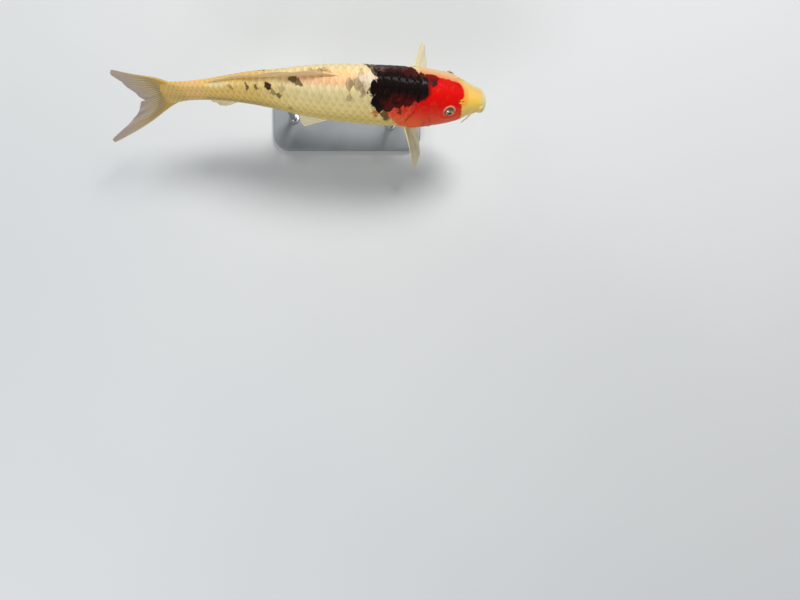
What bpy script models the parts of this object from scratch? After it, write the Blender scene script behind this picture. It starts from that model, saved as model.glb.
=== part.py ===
"""A koi carp as a still, life-size display model, held over a flat base by two rods.

The fish heads along +X with its back up (+Z) and its left side towards +Y. The origin is
the middle of the underside of the stand's base. Lengths are in metres. Stations along the
body run from 0 at the snout to 1 at the tail base, and go past 1 in the tail fin. An angle
round the body is 0 on the back, positive down the left side, and 180 degrees on the belly.
"""

import math

import bmesh
import bpy
import numpy as np
from mathutils import Matrix, Vector

# The fish as a whole
STANDARD_LENGTH = 0.300  # snout to tail base
SNOUT_X = 0.138
AXIS_HEIGHT = 0.096  # the body's axis above the floor
SECTION_POWER = 2.12  # 2 is an ellipse, more is squarer
CLEARANCE = 0.0003  # left between neighbouring pieces
SNOUT_CAP = 0.020  # the stations over which the snout rounds off

# Stations of the body: half width, height of the back and depth of the belly,
# all as shares of the standard length
BODY = (
    (0.000, 0.033, 0.024, 0.037),
    (0.030, 0.036, 0.036, 0.044),
    (0.055, 0.043, 0.051, 0.055),
    (0.085, 0.058, 0.069, 0.067),
    (0.120, 0.070, 0.086, 0.079),
    (0.165, 0.078, 0.103, 0.091),
    (0.220, 0.082, 0.121, 0.106),
    (0.310, 0.080, 0.135, 0.119),
    (0.400, 0.077, 0.139, 0.125),
    (0.480, 0.073, 0.135, 0.122),
    (0.570, 0.064, 0.119, 0.107),
    (0.650, 0.052, 0.099, 0.088),
    (0.740, 0.041, 0.078, 0.069),
    (0.810, 0.032, 0.062, 0.056),
    (0.880, 0.023, 0.051, 0.049),
    (0.940, 0.017, 0.049, 0.049),
    (1.000, 0.009, 0.053, 0.054),
)
# How the axis swings to the left, as a share of the standard length
SWING = (
    (0.000, -0.0215),
    (0.100, -0.0175),
    (0.225, -0.0155),
    (0.460, -0.0035),
    (0.600, 0.0040),
    (0.760, 0.0140),
    (0.900, 0.0090),
    (1.000, 0.0000),
    (1.080, -0.0260),
    (1.200, -0.0560),
)
# How far the back leans to the left, in degrees
ROLL = ((0.00, 9.0), (0.40, 7.0), (0.75, 8.0), (0.92, 11.5), (1.02, 24.0), (1.20, 40.0))

# Where the pieces part
GILL_BACK, GILL_SIDE, GILL_THROAT = 0.205, 0.258, 0.180
STALK_START = 0.800
COVER_TOP, COVER_LOW = 50.0, 148.0  # the gill cover's angles round the body
COVER_FRONT, COVER_CURL = 0.152, 0.050
COVER_THICK = 0.0026
JAW_BACK = 0.082
MOUTH_DROP, MOUTH_SLOPE = 0.011, 13.0  # below the axis, and degrees down to the corner

# Eyes
EYE_STATION, EYE_ANGLE = 0.122, 60.5
EYE_RADIUS, EYE_SUNK = 0.0056, 0.0036

# Thickness of a fin where it leaves the body, and its share of that at the rim
FIN_THICK, FIN_RIM = 0.0026, 0.30
ROOT_DEPTH = 0.005  # how far a fin is drawn into the body before it is cut to fit

# Length of a tail lobe's rays, from the outer one to the fork: 1 is the upper lobe
LOBES = {1: (0.98, 1.0, 0.76, 0.56, 0.44), -1: (0.98, 1.0, 0.62, 0.44, 0.38)}

# Stand
BASE_LENGTH, BASE_WIDTH, BASE_THICK = 0.156, 0.068, 0.007
BASE_CORNER, BASE_EDGE = 0.016, 0.0012
ROD_RADIUS, ROD_OFFSETS = 0.0028, (-0.056, 0.046)

# Finish of each kind of piece: colour, roughness, metallic
FINISHES = {
    "red_head": ((0.62, 0.03, 0.015), 0.32, 0.0),
    "cream_hide": ((0.66, 0.55, 0.33), 0.34, 0.0),
    "ochre_stalk": ((0.56, 0.42, 0.17), 0.34, 0.0),
    "yellow_jaw": ((0.80, 0.62, 0.25), 0.35, 0.0),
    "olive_fin": ((0.50, 0.42, 0.20), 0.40, 0.0),
    "eye": ((0.05, 0.045, 0.03), 0.08, 0.0),
    "satin_base": ((0.26, 0.28, 0.30), 0.45, 0.0),
    "steel_rod": ((0.60, 0.61, 0.62), 0.30, 1.0),
}


def clear_scene():
    for obj in list(bpy.data.objects):
        bpy.data.objects.remove(obj)


def collection(name):
    made = bpy.data.collections.new(name)
    bpy.context.scene.collection.children.link(made)
    return made


def finish(name):
    """The Principled material of one of FINISHES."""
    found = bpy.data.materials.get(name)
    if found:
        return found
    colour, roughness, metallic = FINISHES[name]
    made = bpy.data.materials.new(name)
    made.use_nodes = True
    shader = made.node_tree.nodes["Principled BSDF"]
    shader.inputs["Base Color"].default_value = (*colour, 1.0)
    shader.inputs["Roughness"].default_value = roughness
    shader.inputs["Metallic"].default_value = metallic
    made.diffuse_color = (*colour, 1.0)
    return made


# ---------------------------------------------------------------- the body's form


def through(stations, values, at):
    """A smooth curve through the values that never overshoots between two of them."""
    x, y = np.asarray(stations, float), np.asarray(values, float)
    step, slope = np.diff(x), np.diff(y) / np.diff(x)
    tangent = np.concatenate([slope[:1], np.zeros(len(x) - 2), slope[-1:]])
    rising = slope[:-1] * slope[1:] > 0
    pair = slope[:-1] + slope[1:]
    tangent[1:-1][rising] = 2 * (slope[:-1] * slope[1:])[rising] / pair[rising]
    at = np.asarray(at, float)
    i = np.clip(np.searchsorted(x, at) - 1, 0, len(step) - 1)
    h = step[i]
    w = np.clip((at - x[i]) / h, 0, 1)
    start = y[i] * (1 + 2 * w) * (1 - w) ** 2 + h * tangent[i] * w * (1 - w) ** 2
    end = y[i + 1] * w**2 * (3 - 2 * w) + h * tangent[i + 1] * w**2 * (w - 1)
    return start + end


def swelling(at, centre, spread):
    """A bell, 1 at its centre."""
    return np.exp(-(((at - centre) / spread) ** 2))


def axis(u):
    """Points on the body's axis."""
    u = np.asarray(u, float)
    swing = through(*zip(*SWING), u) * STANDARD_LENGTH
    height = np.full(u.shape, AXIS_HEIGHT)
    return np.stack([SNOUT_X - STANDARD_LENGTH * u, swing, height], -1)


def leaning(u, extra=0.0):
    """Unit vectors towards the back and the left side, after the body's roll."""
    roll = np.radians(through(*zip(*ROLL), u) + extra)
    none = np.zeros_like(roll)
    back = np.stack([none, np.sin(roll), np.cos(roll)], -1)
    left = np.stack([none, np.cos(roll), -np.sin(roll)], -1)
    return back, left


def snout_round(u):
    return np.sqrt(1 - (1 - np.clip(u / SNOUT_CAP, 0, 1)) ** 2)


def section(u, proud=0.0):
    """Half width, back and belly of the body at stations u, in metres."""
    table = np.array(BODY).T
    sizes = [through(table[0], column, u) * STANDARD_LENGTH for column in table[1:]]
    return [size * snout_round(u) + proud for size in sizes]


def hide(u, angle, proud=0.0):
    """Points of the body's surface at stations u and angles in degrees."""
    u, angle = np.broadcast_arrays(np.asarray(u, float), np.asarray(angle, float))
    half, top, low = section(u, proud)
    across, up = np.sin(np.radians(angle)), np.cos(np.radians(angle))
    power = 2 / SECTION_POWER
    across = np.sign(across) * np.abs(across) ** power * half
    up = np.sign(up) * np.abs(up) ** power * np.where(up > 0, top, low)
    back, left = leaning(u)
    return axis(u) + across[..., None] * left + up[..., None] * back


def gill_line(angle):
    """The station where the head ends, round the body."""
    side = np.abs((np.asarray(angle, float) + 180) % 360 - 180)
    reach = (GILL_SIDE - GILL_BACK) * swelling(side, 92.0, 38.0)
    throat = (GILL_THROAT - GILL_BACK) * np.clip((side - 130) / 50, 0, 1) ** 2
    return GILL_BACK + reach + throat


# ---------------------------------------------------------------- making objects


def object_of(bm, name, home, material):
    if all(edge.is_manifold for edge in bm.edges):
        bmesh.ops.recalc_face_normals(bm, faces=bm.faces)
    mesh = bpy.data.meshes.new(name)
    bm.to_mesh(mesh)
    bm.free()
    obj = bpy.data.objects.new(name, mesh)
    home.objects.link(obj)
    if material:
        mesh.materials.append(finish(material))
    mesh.shade_smooth()
    mesh.set_sharp_from_angle(angle=math.radians(40))
    return obj


def loft(name, rings, home, material=None):
    """A solid through closed rings of points, each end closed by a fan."""
    bm = bmesh.new()
    rows = [[bm.verts.new(point) for point in ring] for ring in rings]
    count = len(rows[0])
    for one, two in zip(rows, rows[1:]):
        for j in range(count):
            k = (j + 1) % count
            bm.faces.new((one[j], one[k], two[k], two[j]))
    for row in (rows[0], rows[-1]):
        middle = bm.verts.new(sum((v.co for v in row), Vector()) / count)
        for j in range(count):
            bm.faces.new((row[j], row[(j + 1) % count], middle))
    return object_of(bm, name, home, material)


def sheet(name, grid, home, material=None, weights=None):
    """An open surface through a grid of points, with weights per point for a Solidify."""
    bm = bmesh.new()
    rows = [[bm.verts.new(point) for point in row] for row in grid]
    for one, two in zip(rows, rows[1:]):
        for j in range(len(one) - 1):
            bm.faces.new((one[j], one[j + 1], two[j + 1], two[j]))
    obj = object_of(bm, name, home, material)
    if weights is not None:
        group = obj.vertex_groups.new(name="thickness")
        for index, weight in enumerate(np.ravel(weights)):
            group.add([index], float(weight), "REPLACE")
    return obj


def slab(name, outer, inner, home, material=None):
    """A closed plate between two grids of points."""
    bm = bmesh.new()
    above = [[bm.verts.new(point) for point in row] for row in outer]
    below = [[bm.verts.new(point) for point in row] for row in inner]
    for grid in (above, below):
        for one, two in zip(grid, grid[1:]):
            for j in range(len(one) - 1):
                bm.faces.new((one[j], one[j + 1], two[j + 1], two[j]))

    def border(grid):
        ends = [row[-1] for row in grid[1:-1]], [row[0] for row in grid[-2:0:-1]]
        return grid[0] + ends[0] + grid[-1][::-1] + ends[1]

    one, two = border(above), border(below)
    for j in range(len(one)):
        k = (j + 1) % len(one)
        bm.faces.new((one[j], one[k], two[k], two[j]))
    return object_of(bm, name, home, material)


def thicken(obj, thickness, offset=0.0):
    solidify = obj.modifiers.new("thickness", "SOLIDIFY")
    solidify.thickness = thickness
    solidify.offset = offset
    if obj.vertex_groups:
        solidify.vertex_group = "thickness"
    return solidify


def combine(obj, other, operation):
    boolean = obj.modifiers.new(f"{operation.lower()}_{other.name}", "BOOLEAN")
    boolean.operation = operation
    boolean.object = other
    return boolean


def helper(obj):
    """Marks a cutter, which is no part of the model."""
    obj.hide_render = True
    obj.display_type = "WIRE"
    return obj


# ---------------------------------------------------------------- body pieces


def body_rings(start, end, rows, crowd=1.0, proud=0.0, around=36):
    """Rings between two stations, either of which may be a function of the angle."""
    angles = np.arange(around) * 360.0 / around
    first = start(angles) if callable(start) else np.full(around, start)
    last = end(angles) if callable(end) else np.full(around, end)
    share = (np.linspace(0, 1, rows) ** crowd)[:, None]
    stations = first + (last - first) * share
    return hide(stations, angles[None, :], proud)


def build_head(home):
    def ends(angle):
        return gill_line(angle) - 0.5 * CLEARANCE / STANDARD_LENGTH

    return loft("head", body_rings(0.0012, ends, 17, crowd=1.6), home, "red_head")


def build_trunk(home):
    def starts(angle):
        return gill_line(angle) + 0.5 * CLEARANCE / STANDARD_LENGTH

    return loft("trunk", body_rings(starts, STALK_START, 21), home, "cream_hide")


def build_stalk(home):
    start = STALK_START + CLEARANCE / STANDARD_LENGTH
    return loft("tail_stalk", body_rings(start, 1.0, 9), home, "ochre_stalk")


def build_clearance(cutters):
    """The whole body grown by the clearance, which trims whatever meets it."""
    past_tail = 1.0 + CLEARANCE / STANDARD_LENGTH
    rings = body_rings(0.0012, past_tail, 44, crowd=1.15, proud=CLEARANCE)
    return helper(loft("body_clearance", rings, cutters))


def build_gill_cover(side, name, head, home, cutters):
    """A curved plate let into the head, and the recess that it lies in."""

    def patch(depth, grown=0.0):
        angles = np.linspace(COVER_TOP - grown, COVER_LOW + grown, 11)[:, None]
        off_middle = np.clip(np.abs(angles - 98.0) / 50.0, 0, 1)
        front = COVER_FRONT + COVER_CURL * off_middle**2.4 - grown * 0.0012
        rear = gill_line(angles) - 0.0022 - 1.7 * depth + grown * 0.015
        stations = front + (rear - front) * np.linspace(0, 1, 9)
        return hide(stations, side * angles, -depth)

    cover = slab(name, patch(0.0), patch(COVER_THICK), home, "red_head")
    inner = patch(COVER_THICK + CLEARANCE, grown=0.9)
    recess = slab(f"{name}_recess", patch(-0.002, grown=0.9), inner, cutters)
    combine(head, helper(recess), "DIFFERENCE")
    return cover


def build_jaw(head, home, cutters):
    """The lower jaw, parted from the head by a thin cut along the mouth."""
    back, _ = leaning(np.array([0.0]))
    corner = Vector(axis(0.0)) - Vector(back[0]) * MOUTH_DROP * STANDARD_LENGTH
    roll = Matrix.Rotation(-math.radians(ROLL[0][1]), 4, "X")
    pitch = Matrix.Rotation(-math.radians(MOUTH_SLOPE), 4, "Y")

    def region(name, gap):
        length, depth = JAW_BACK * STANDARD_LENGTH + gap, 0.06
        bm = bmesh.new()
        bmesh.ops.create_cube(bm, size=1.0)
        bmesh.ops.scale(bm, vec=(2 * length, 0.08, depth), verts=bm.verts)
        bmesh.ops.translate(bm, vec=(0, 0, gap - depth / 2), verts=bm.verts)
        made = helper(object_of(bm, name, cutters, None))
        made.matrix_world = Matrix.Translation(corner) @ roll @ pitch
        return made

    rings = body_rings(0.0012, gill_line, 17, crowd=1.6)
    jaw = loft("lower_jaw", rings, home, "yellow_jaw")
    combine(jaw, region("jaw_region", 0.0), "INTERSECT")
    combine(head, region("jaw_gap", CLEARANCE), "DIFFERENCE")
    return jaw


def build_eye(side, name, head, home, cutters):
    """An eyeball in its socket."""
    surface = Vector(hide(EYE_STATION, side * EYE_ANGLE))
    middle = Vector(axis(EYE_STATION))
    outwards = (surface - middle).normalized()
    centre = surface - outwards * EYE_SUNK

    def ball(label, radius, place, rows):
        bm = bmesh.new()
        bmesh.ops.create_uvsphere(bm, u_segments=rows, v_segments=rows // 2, radius=radius)
        made = object_of(bm, label, place, "eye" if place is home else None)
        turn = outwards.to_track_quat("Z", "Y").to_matrix().to_4x4()
        made.matrix_world = Matrix.Translation(centre) @ turn
        return made

    eye = ball(name, EYE_RADIUS, home, 18)
    socket = helper(ball(f"{name}_socket", EYE_RADIUS + CLEARANCE, cutters, 24))
    combine(head, socket, "DIFFERENCE")
    return eye


# ---------------------------------------------------------------- fins


def fin(name, grid, clearance, home):
    """A fin from its grid, rows from root to tip, trimmed where it meets the body."""
    rows, columns = grid.shape[:2]
    outwards = np.linspace(1, 0, rows)[:, None] ** 1.5 * np.ones(columns)
    made = sheet(name, grid, home, "olive_fin", FIN_RIM + (1 - FIN_RIM) * outwards)
    thicken(made, FIN_THICK)
    combine(made, clearance, "DIFFERENCE")
    return made


def median_grid(side, stations, lengths, rake, lean, rows=8, columns=14):
    """A fin on the midline: side is 1 on the back and -1 on the belly."""
    p = np.linspace(0, 1, columns)
    u = stations[0] + (stations[1] - stations[0]) * p
    length = through(*zip(*lengths), p) * STANDARD_LENGTH
    tilt = np.radians(rake[0] + (rake[1] - rake[0]) * p)
    _, top, low = section(u)
    root = (top if side > 0 else low) - ROOT_DEPTH
    q = np.linspace(0, 1, rows)[:, None]
    run = (length + ROOT_DEPTH) * q
    sweep = tilt + 0.20 * q  # rays curve a little further back towards their tips
    station = u + run * np.sin(sweep) / STANDARD_LENGTH
    rise = run * np.cos(sweep)
    back, _ = leaning(station)
    folded, _ = leaning(station, lean * np.minimum(1, 1.6 * q) * np.ones(columns))
    return axis(station) + side * (root[None, :, None] * back + rise[..., None] * folded)


def lobe_grid(side, reach, spread, rows=10, columns=10):
    """One lobe of the tail fin: side is 1 for the upper, and columns run to the fork."""
    p = np.linspace(0, 1, columns)[None, :]
    q = np.linspace(0, 1, rows)[:, None]
    _, top, low = section(np.array(1.0))
    stem = float(top if side > 0 else low)
    length = through((0.0, 0.10, 0.35, 0.70, 1.0), LOBES[side], p)
    angle = np.radians(spread * (1 - p) ** 0.85)
    bow = np.radians(9.0) * (1 - p) * (0.5 - q)  # the outer edge is bowed
    run = reach * length * q
    along = run * np.cos(angle + bow) - ROOT_DEPTH * (1 - q)
    up = stem * 0.93 * (1 - p) + run * np.sin(angle + bow) + 0.0003
    station = 1.0 + along / STANDARD_LENGTH
    back, _ = leaning(station)
    return axis(station) + side * up[..., None] * back


def paired_grid(root, leading, chord, lengths, fan, bend, rows=8, columns=9):
    """A paired fin: rays leave a short base and fan from the leading ray to the last."""
    p = np.linspace(0, 1, columns)[None, :, None]
    q = np.linspace(0, 1, rows)[:, None, None]
    leading, chord = Vector(leading).normalized(), Vector(chord).normalized()
    chord = (chord - leading * chord.dot(leading)).normalized()
    facing = np.array(leading.cross(chord))
    length = through(*zip(*lengths), p) * STANDARD_LENGTH + ROOT_DEPTH
    angle = np.radians(fan) * p * (0.55 + 0.45 * q)
    ray = np.cos(angle) * np.array(leading) + np.sin(angle) * np.array(chord)
    start = np.asarray(root) - ROOT_DEPTH * np.array(leading)
    base = start + 0.024 * STANDARD_LENGTH * p * np.array(chord)
    return base + ray * length * q + bend * STANDARD_LENGTH * q**2 * facing


def build_fins(clearance, home):
    dorsal_lengths = ((0.0, 0.070), (0.07, 0.098), (0.25, 0.080), (0.6, 0.060), (1.0, 0.050))
    grid = median_grid(1, (0.415, 0.800), dorsal_lengths, (63.0, 70.0), -2.0, columns=20)
    fin("dorsal_fin", grid, clearance, home)
    anal_lengths = ((0.0, 0.070), (0.10, 0.100), (0.5, 0.078), (1.0, 0.050))
    grid = median_grid(-1, (0.750, 0.828), anal_lengths, (38.0, 55.0), 0.0, columns=9)
    fin("anal_fin", grid, clearance, home)
    fin("tail_fin_upper", lobe_grid(1, 0.0475, 38.0), clearance, home)
    fin("tail_fin_lower", lobe_grid(-1, 0.0650, 24.0), clearance, home)

    pectoral = ((0.0, 0.168), (0.18, 0.176), (0.5, 0.158), (0.8, 0.120), (1.0, 0.080))
    pectoral_poses = (
        ("pectoral_fin_left", 1, 0.252, (0.34, 0.93, -0.14), (0.42, -0.10, -0.90)),
        ("pectoral_fin_right", -1, 0.258, (0.24, -0.71, -0.66), (0.42, 0.42, -0.80)),
    )
    for name, side, station, leading, chord in pectoral_poses:
        root = hide(station, side * 128.0)
        grid = paired_grid(root, leading, chord, pectoral, 46.0, side * 0.012)
        fin(name, grid, clearance, home)

    pelvic = ((0.0, 0.118), (0.2, 0.122), (0.6, 0.104), (1.0, 0.070))
    for name, side in (("pelvic_fin_left", 1), ("pelvic_fin_right", -1)):
        root = hide(0.485, side * 154.0)
        leading, chord = (-0.88, side * 0.10, -0.45), (-0.35, -side * 0.45, 0.60)
        grid = paired_grid(root, leading, chord, pelvic, 38.0, side * 0.006)
        fin(name, grid, clearance, home)


# ---------------------------------------------------------------- barbels and stand


def build_barbel(name, station, angle, length, radius, home, clearance):
    """A soft feeler that hangs back from the lip, tapering to its tip."""
    root = Vector(hide(station, angle))
    inwards = (Vector(axis(station)) - root).normalized()
    side = math.copysign(1.0, angle)
    curve = bpy.data.curves.new(name, "CURVE")
    curve.dimensions = "3D"
    curve.bevel_depth = radius
    curve.bevel_resolution = 1
    curve.use_fill_caps = True
    spline = curve.splines.new("POLY")
    steps = 9
    spline.points.add(steps - 1)
    for i, point in enumerate(spline.points):
        share = i / (steps - 1)
        reach = length * share
        drop = Vector((-0.60, side * 0.34, -0.60 - 0.25 * share)) * reach
        start = root + inwards * 0.003 * (1 - share)
        point.co = (*(start + drop), 1.0)
        point.radius = 1.0 - 0.55 * share
    strand = bpy.data.objects.new(name, curve)
    home.objects.link(strand)
    graph = bpy.context.evaluated_depsgraph_get()
    mesh = bpy.data.meshes.new_from_object(strand.evaluated_get(graph))
    place = strand.matrix_world.copy()
    bpy.data.objects.remove(strand)
    bm = bmesh.new()
    bm.from_mesh(mesh)
    bmesh.ops.remove_doubles(bm, verts=bm.verts, dist=1e-6)
    made = object_of(bm, name, home, "yellow_jaw")
    made.matrix_world = place
    combine(made, clearance, "DIFFERENCE")
    return made


def build_barbels(clearance, home):
    for side, label in ((1, "left"), (-1, "right")):
        build_barbel(
            f"barbel_{label}_long", 0.045, side * 104.0, 0.0170, 0.00110, home, clearance
        )
        build_barbel(
            f"barbel_{label}_short", 0.021, side * 74.0, 0.0062, 0.00080, home, clearance
        )


def build_base(home):
    bm = bmesh.new()
    bmesh.ops.create_cube(bm, size=1.0)
    bmesh.ops.scale(bm, vec=(BASE_LENGTH, BASE_WIDTH, BASE_THICK), verts=bm.verts)
    bmesh.ops.translate(bm, vec=(0, 0, BASE_THICK / 2), verts=bm.verts)
    uprights = [e for e in bm.edges if abs(e.verts[0].co.z - e.verts[1].co.z) > 1e-4]
    bmesh.ops.bevel(
        bm, geom=uprights, offset=BASE_CORNER, segments=8, profile=0.5, affect="EDGES"
    )
    base = object_of(bm, "stand_base", home, "satin_base")
    rim = base.modifiers.new("edge", "BEVEL")
    rim.width = BASE_EDGE
    rim.segments = 2
    rim.angle_limit = math.radians(60)
    return base


def build_rod(name, x, clearance, home):
    """A round rod from the base up to the belly, trimmed to the body."""
    bottom = BASE_THICK + CLEARANCE
    top = AXIS_HEIGHT
    bm = bmesh.new()
    bmesh.ops.create_cone(
        bm,
        cap_ends=True,
        segments=20,
        radius1=ROD_RADIUS,
        radius2=ROD_RADIUS,
        depth=top - bottom,
    )
    rod = object_of(bm, name, home, "steel_rod")
    station = (SNOUT_X - x) / STANDARD_LENGTH
    keel = hide(station, 180.0)
    rod.location = (x, float(keel[1]), (top + bottom) / 2)
    combine(rod, clearance, "DIFFERENCE")
    return rod


def build():
    clear_scene()
    home = collection("koi_carp")
    cutters = collection("cutters")
    clearance = build_clearance(cutters)
    head = build_head(home)
    build_trunk(home)
    build_stalk(home)
    build_gill_cover(1, "gill_cover_left", head, home, cutters)
    build_gill_cover(-1, "gill_cover_right", head, home, cutters)
    build_jaw(head, home, cutters)
    build_eye(1, "eye_left", head, home, cutters)
    build_eye(-1, "eye_right", head, home, cutters)
    build_fins(clearance, home)
    build_barbels(clearance, home)
    build_base(home)
    for name, x in zip(("stand_rod_rear", "stand_rod_front"), ROD_OFFSETS):
        build_rod(name, x, clearance, home)


build()
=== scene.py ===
"""A koi carp as a still, life-size display model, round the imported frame.

One skin with a modelled head lies under a coat of solid overlapping scales, with rayed
fins, glassy eyes, soft barbels and a plain stand. Stations along the body run from 0 at the
snout to 1 at the tail base. An angle round the body is 0 on the back, positive down the
left side, and 180 degrees on the belly. Lengths are in metres.
"""

import math

import bmesh
import bpy
import numpy as np
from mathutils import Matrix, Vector, noise


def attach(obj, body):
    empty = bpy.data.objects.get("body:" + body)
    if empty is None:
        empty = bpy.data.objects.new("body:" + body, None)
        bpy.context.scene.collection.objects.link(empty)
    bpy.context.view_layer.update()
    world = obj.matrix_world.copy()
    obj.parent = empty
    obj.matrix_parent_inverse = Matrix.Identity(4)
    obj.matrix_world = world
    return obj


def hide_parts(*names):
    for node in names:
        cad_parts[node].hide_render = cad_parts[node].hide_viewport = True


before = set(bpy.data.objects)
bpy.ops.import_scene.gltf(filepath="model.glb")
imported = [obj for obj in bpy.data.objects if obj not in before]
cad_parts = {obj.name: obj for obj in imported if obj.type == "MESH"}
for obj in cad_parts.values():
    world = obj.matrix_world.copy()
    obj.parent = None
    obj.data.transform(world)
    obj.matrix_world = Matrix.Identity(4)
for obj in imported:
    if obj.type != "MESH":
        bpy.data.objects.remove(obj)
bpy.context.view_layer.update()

# The body, as the frame has it
STANDARD_LENGTH = 0.300
SNOUT_X = 0.138
AXIS_HEIGHT = 0.096
SECTION_POWER = 2.12
SNOUT_CAP = 0.020
BODY = (  # station, half width, back and belly, as shares of the standard length
    (0.000, 0.033, 0.024, 0.037),
    (0.030, 0.036, 0.036, 0.044),
    (0.055, 0.043, 0.051, 0.055),
    (0.085, 0.058, 0.069, 0.067),
    (0.120, 0.070, 0.086, 0.079),
    (0.165, 0.078, 0.103, 0.091),
    (0.220, 0.082, 0.121, 0.106),
    (0.310, 0.080, 0.135, 0.119),
    (0.400, 0.077, 0.139, 0.125),
    (0.480, 0.073, 0.135, 0.122),
    (0.570, 0.064, 0.119, 0.107),
    (0.650, 0.052, 0.099, 0.088),
    (0.740, 0.041, 0.078, 0.069),
    (0.810, 0.032, 0.062, 0.056),
    (0.880, 0.023, 0.051, 0.049),
    (0.940, 0.017, 0.049, 0.049),
    (1.000, 0.009, 0.053, 0.054),
)
SWING = (  # how far the axis lies to the left
    (0.000, -0.0215),
    (0.100, -0.0175),
    (0.225, -0.0155),
    (0.460, -0.0035),
    (0.600, 0.0040),
    (0.760, 0.0140),
    (0.900, 0.0090),
    (1.000, 0.0000),
    (1.080, -0.0260),
    (1.200, -0.0560),
)
ROLL = ((0.00, 9.0), (0.40, 7.0), (0.75, 8.0), (0.92, 11.5), (1.02, 24.0), (1.20, 40.0))
TAIL_THINS, TAIL_THINNING = (0.992, 1.023), 0.80  # where the flesh thins into the tail fin

# The head
GILL_BACK, GILL_SIDE, GILL_THROAT = 0.205, 0.258, 0.180
EYE_STATION, EYE_ANGLE = 0.122, 60.5
EYE_RADIUS, EYE_SUNK = 0.0056, 0.0036
EYE_ROWS, EYE_COLUMNS = 48, 72
PUPIL = 0.152  # its edge, as a share of the way from the front of the eye to its back
MOUTH_CORNER, MOUTH_GAPE = 0.0120, 0.0098  # how far back its corners lie, and how far apart
MOUTH_SLOPE = math.radians(20.0)
PORES = 9  # in an arc on each cheek
BARBELS = {  # station, angle, length and thickness at the root
    "long": (0.045, 104.0, 0.0170, 0.00110),
    "short": (0.021, 74.0, 0.0062, 0.00080),
}
BARBEL_ROWS, BARBEL_COLUMNS = 44, 20
BARBEL_SUNK = 0.002

# The fins
ROOT_DEPTH = 0.005
PECTORAL_STATIONS, PECTORAL_ANGLE = {1: 0.252, -1: 0.258}, 128.0
PELVIC_STATION, PELVIC_ANGLE = 0.485, 154.0
LOBES = {  # the tail fin's ray lengths from its outer edge to its fork, above and below
    1: (0.98, 1.0, 0.76, 0.56, 0.44),
    -1: (0.98, 1.0, 0.62, 0.44, 0.38),
}
FIN_ROWS = 54  # points along a ray
FIN_CHORD = 0.024  # how wide a paired fin's root is, as a share of the standard length
FIN_WAVE, FIN_SPLITS = 0.0006, 3

# The stand
BASE_LENGTH, BASE_WIDTH, BASE_THICK = 0.156, 0.068, 0.007
BASE_CORNER, BASE_EDGE, BASE_CHAMFER = 0.016, 0.0012, 0.0006
CORNER_STEPS, EDGE_STEPS = 14, 6
ROD_RADIUS, ROD_OFFSETS = 0.0028, (-0.056, 0.046)
ROD_COLUMNS = 48
ROD_SHARP, BASE_SHARP = math.radians(35), math.radians(40)  # edges sharper than this aren't smoothed

# The skin's grid: points round it, and rows along it
AROUND = 272
SNOUT_ROWS, FACE_ROWS, FLANK_ROWS = 40, 190, 78
GILL_ROWS = (-0.9, -0.6, -0.4, -0.2, 0.0, 0.2, 0.45, 0.8, 1.3, 2.0, 3.0, 4.4)  # mm past the gill's edge
ROOT_ROWS = (0.004, 0.009, 0.014, 0.019, 0.023)  # stations past the tail base
SKIN_END = 1.03
SKIN_NODES = ("head", "gill_cover_left", "gill_cover_right", "lower_jaw", "trunk", "tail_stalk")

# The coat
SKIN_DEPTH = 0.00042  # how far the skin lies under the frame's surface where it has scales
LATERAL_LINE = 92.0  # its angle round the body
PITCH = (  # station, and from scale to scale along a row
    (0.12, 0.0060),
    (0.35, 0.0074),
    (0.60, 0.0066),
    (0.80, 0.0054),
    (0.95, 0.0043),
    (1.06, 0.0038),
)
ROWS_ABOVE = ((0.12, 7.0), (0.43, 7.0), (0.80, 4.0), (1.06, 4.0))  # station, and rows to the back
ROWS_BELOW = ((0.12, 6.0), (0.74, 6.0), (0.84, 4.0), (1.06, 4.0))  # and to the keel
BACK_SPANS = ((0.208, 0.412), (0.812, 0.975))  # where the back has its own row, clear of the fin
KEEL_SPANS = ((0.190, 0.735), (0.848, 0.975))
PLATE_FRONT, PLATE_TIP = -0.72, 0.50  # along a scale, in pitches from its middle
PLATE_STEP = 0.00028  # a scale's rise over one pitch
PLATE_THICK = 0.00026
PLATE_TURN = 0.035  # how far a scale may tilt sideways, in radians
RIDGE_PROUD = 0.00004  # how much higher the rows on the back and keel lie
PAINT_SPREAD = 0.55  # a scale is painted partly as its root is
CHART = (1 / 64, 1 / 32)  # from pitches and rows to the chart's unit square
BED_SPAN, BED_ROWS = (0.125, 1.055), 330
FLANK_ARC, FLANK_COLUMNS = (-50.0, 230.0), 190  # round one side
RIDGE_ARC, RIDGE_COLUMNS = (-70.0, 70.0), 110  # round the back or the keel
MOST_ROWS = 9  # above the lateral line, or below it
CLEAR_OF_RIDGE, PAST_MIDDLE = 4.0, 2.0  # degrees left for a row on the midline, or laid over it


# ---------------------------------------------------------------- the body's form


def through(stations, values, at):
    """A smooth curve through the values that never overshoots between two of them."""
    x, y = np.asarray(stations, float), np.asarray(values, float)
    step, slope = np.diff(x), np.diff(y) / np.diff(x)
    tangent = np.concatenate([slope[:1], np.zeros(len(x) - 2), slope[-1:]])
    rising = slope[:-1] * slope[1:] > 0
    pair = slope[:-1] + slope[1:]
    tangent[1:-1][rising] = 2 * (slope[:-1] * slope[1:])[rising] / pair[rising]
    at = np.asarray(at, float)
    i = np.clip(np.searchsorted(x, at) - 1, 0, len(step) - 1)
    h = step[i]
    w = np.clip((at - x[i]) / h, 0, 1)
    start = y[i] * (1 + 2 * w) * (1 - w) ** 2 + h * tangent[i] * w * (1 - w) ** 2
    end = y[i + 1] * w**2 * (3 - 2 * w) + h * tangent[i + 1] * w**2 * (w - 1)
    return start + end


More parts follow.
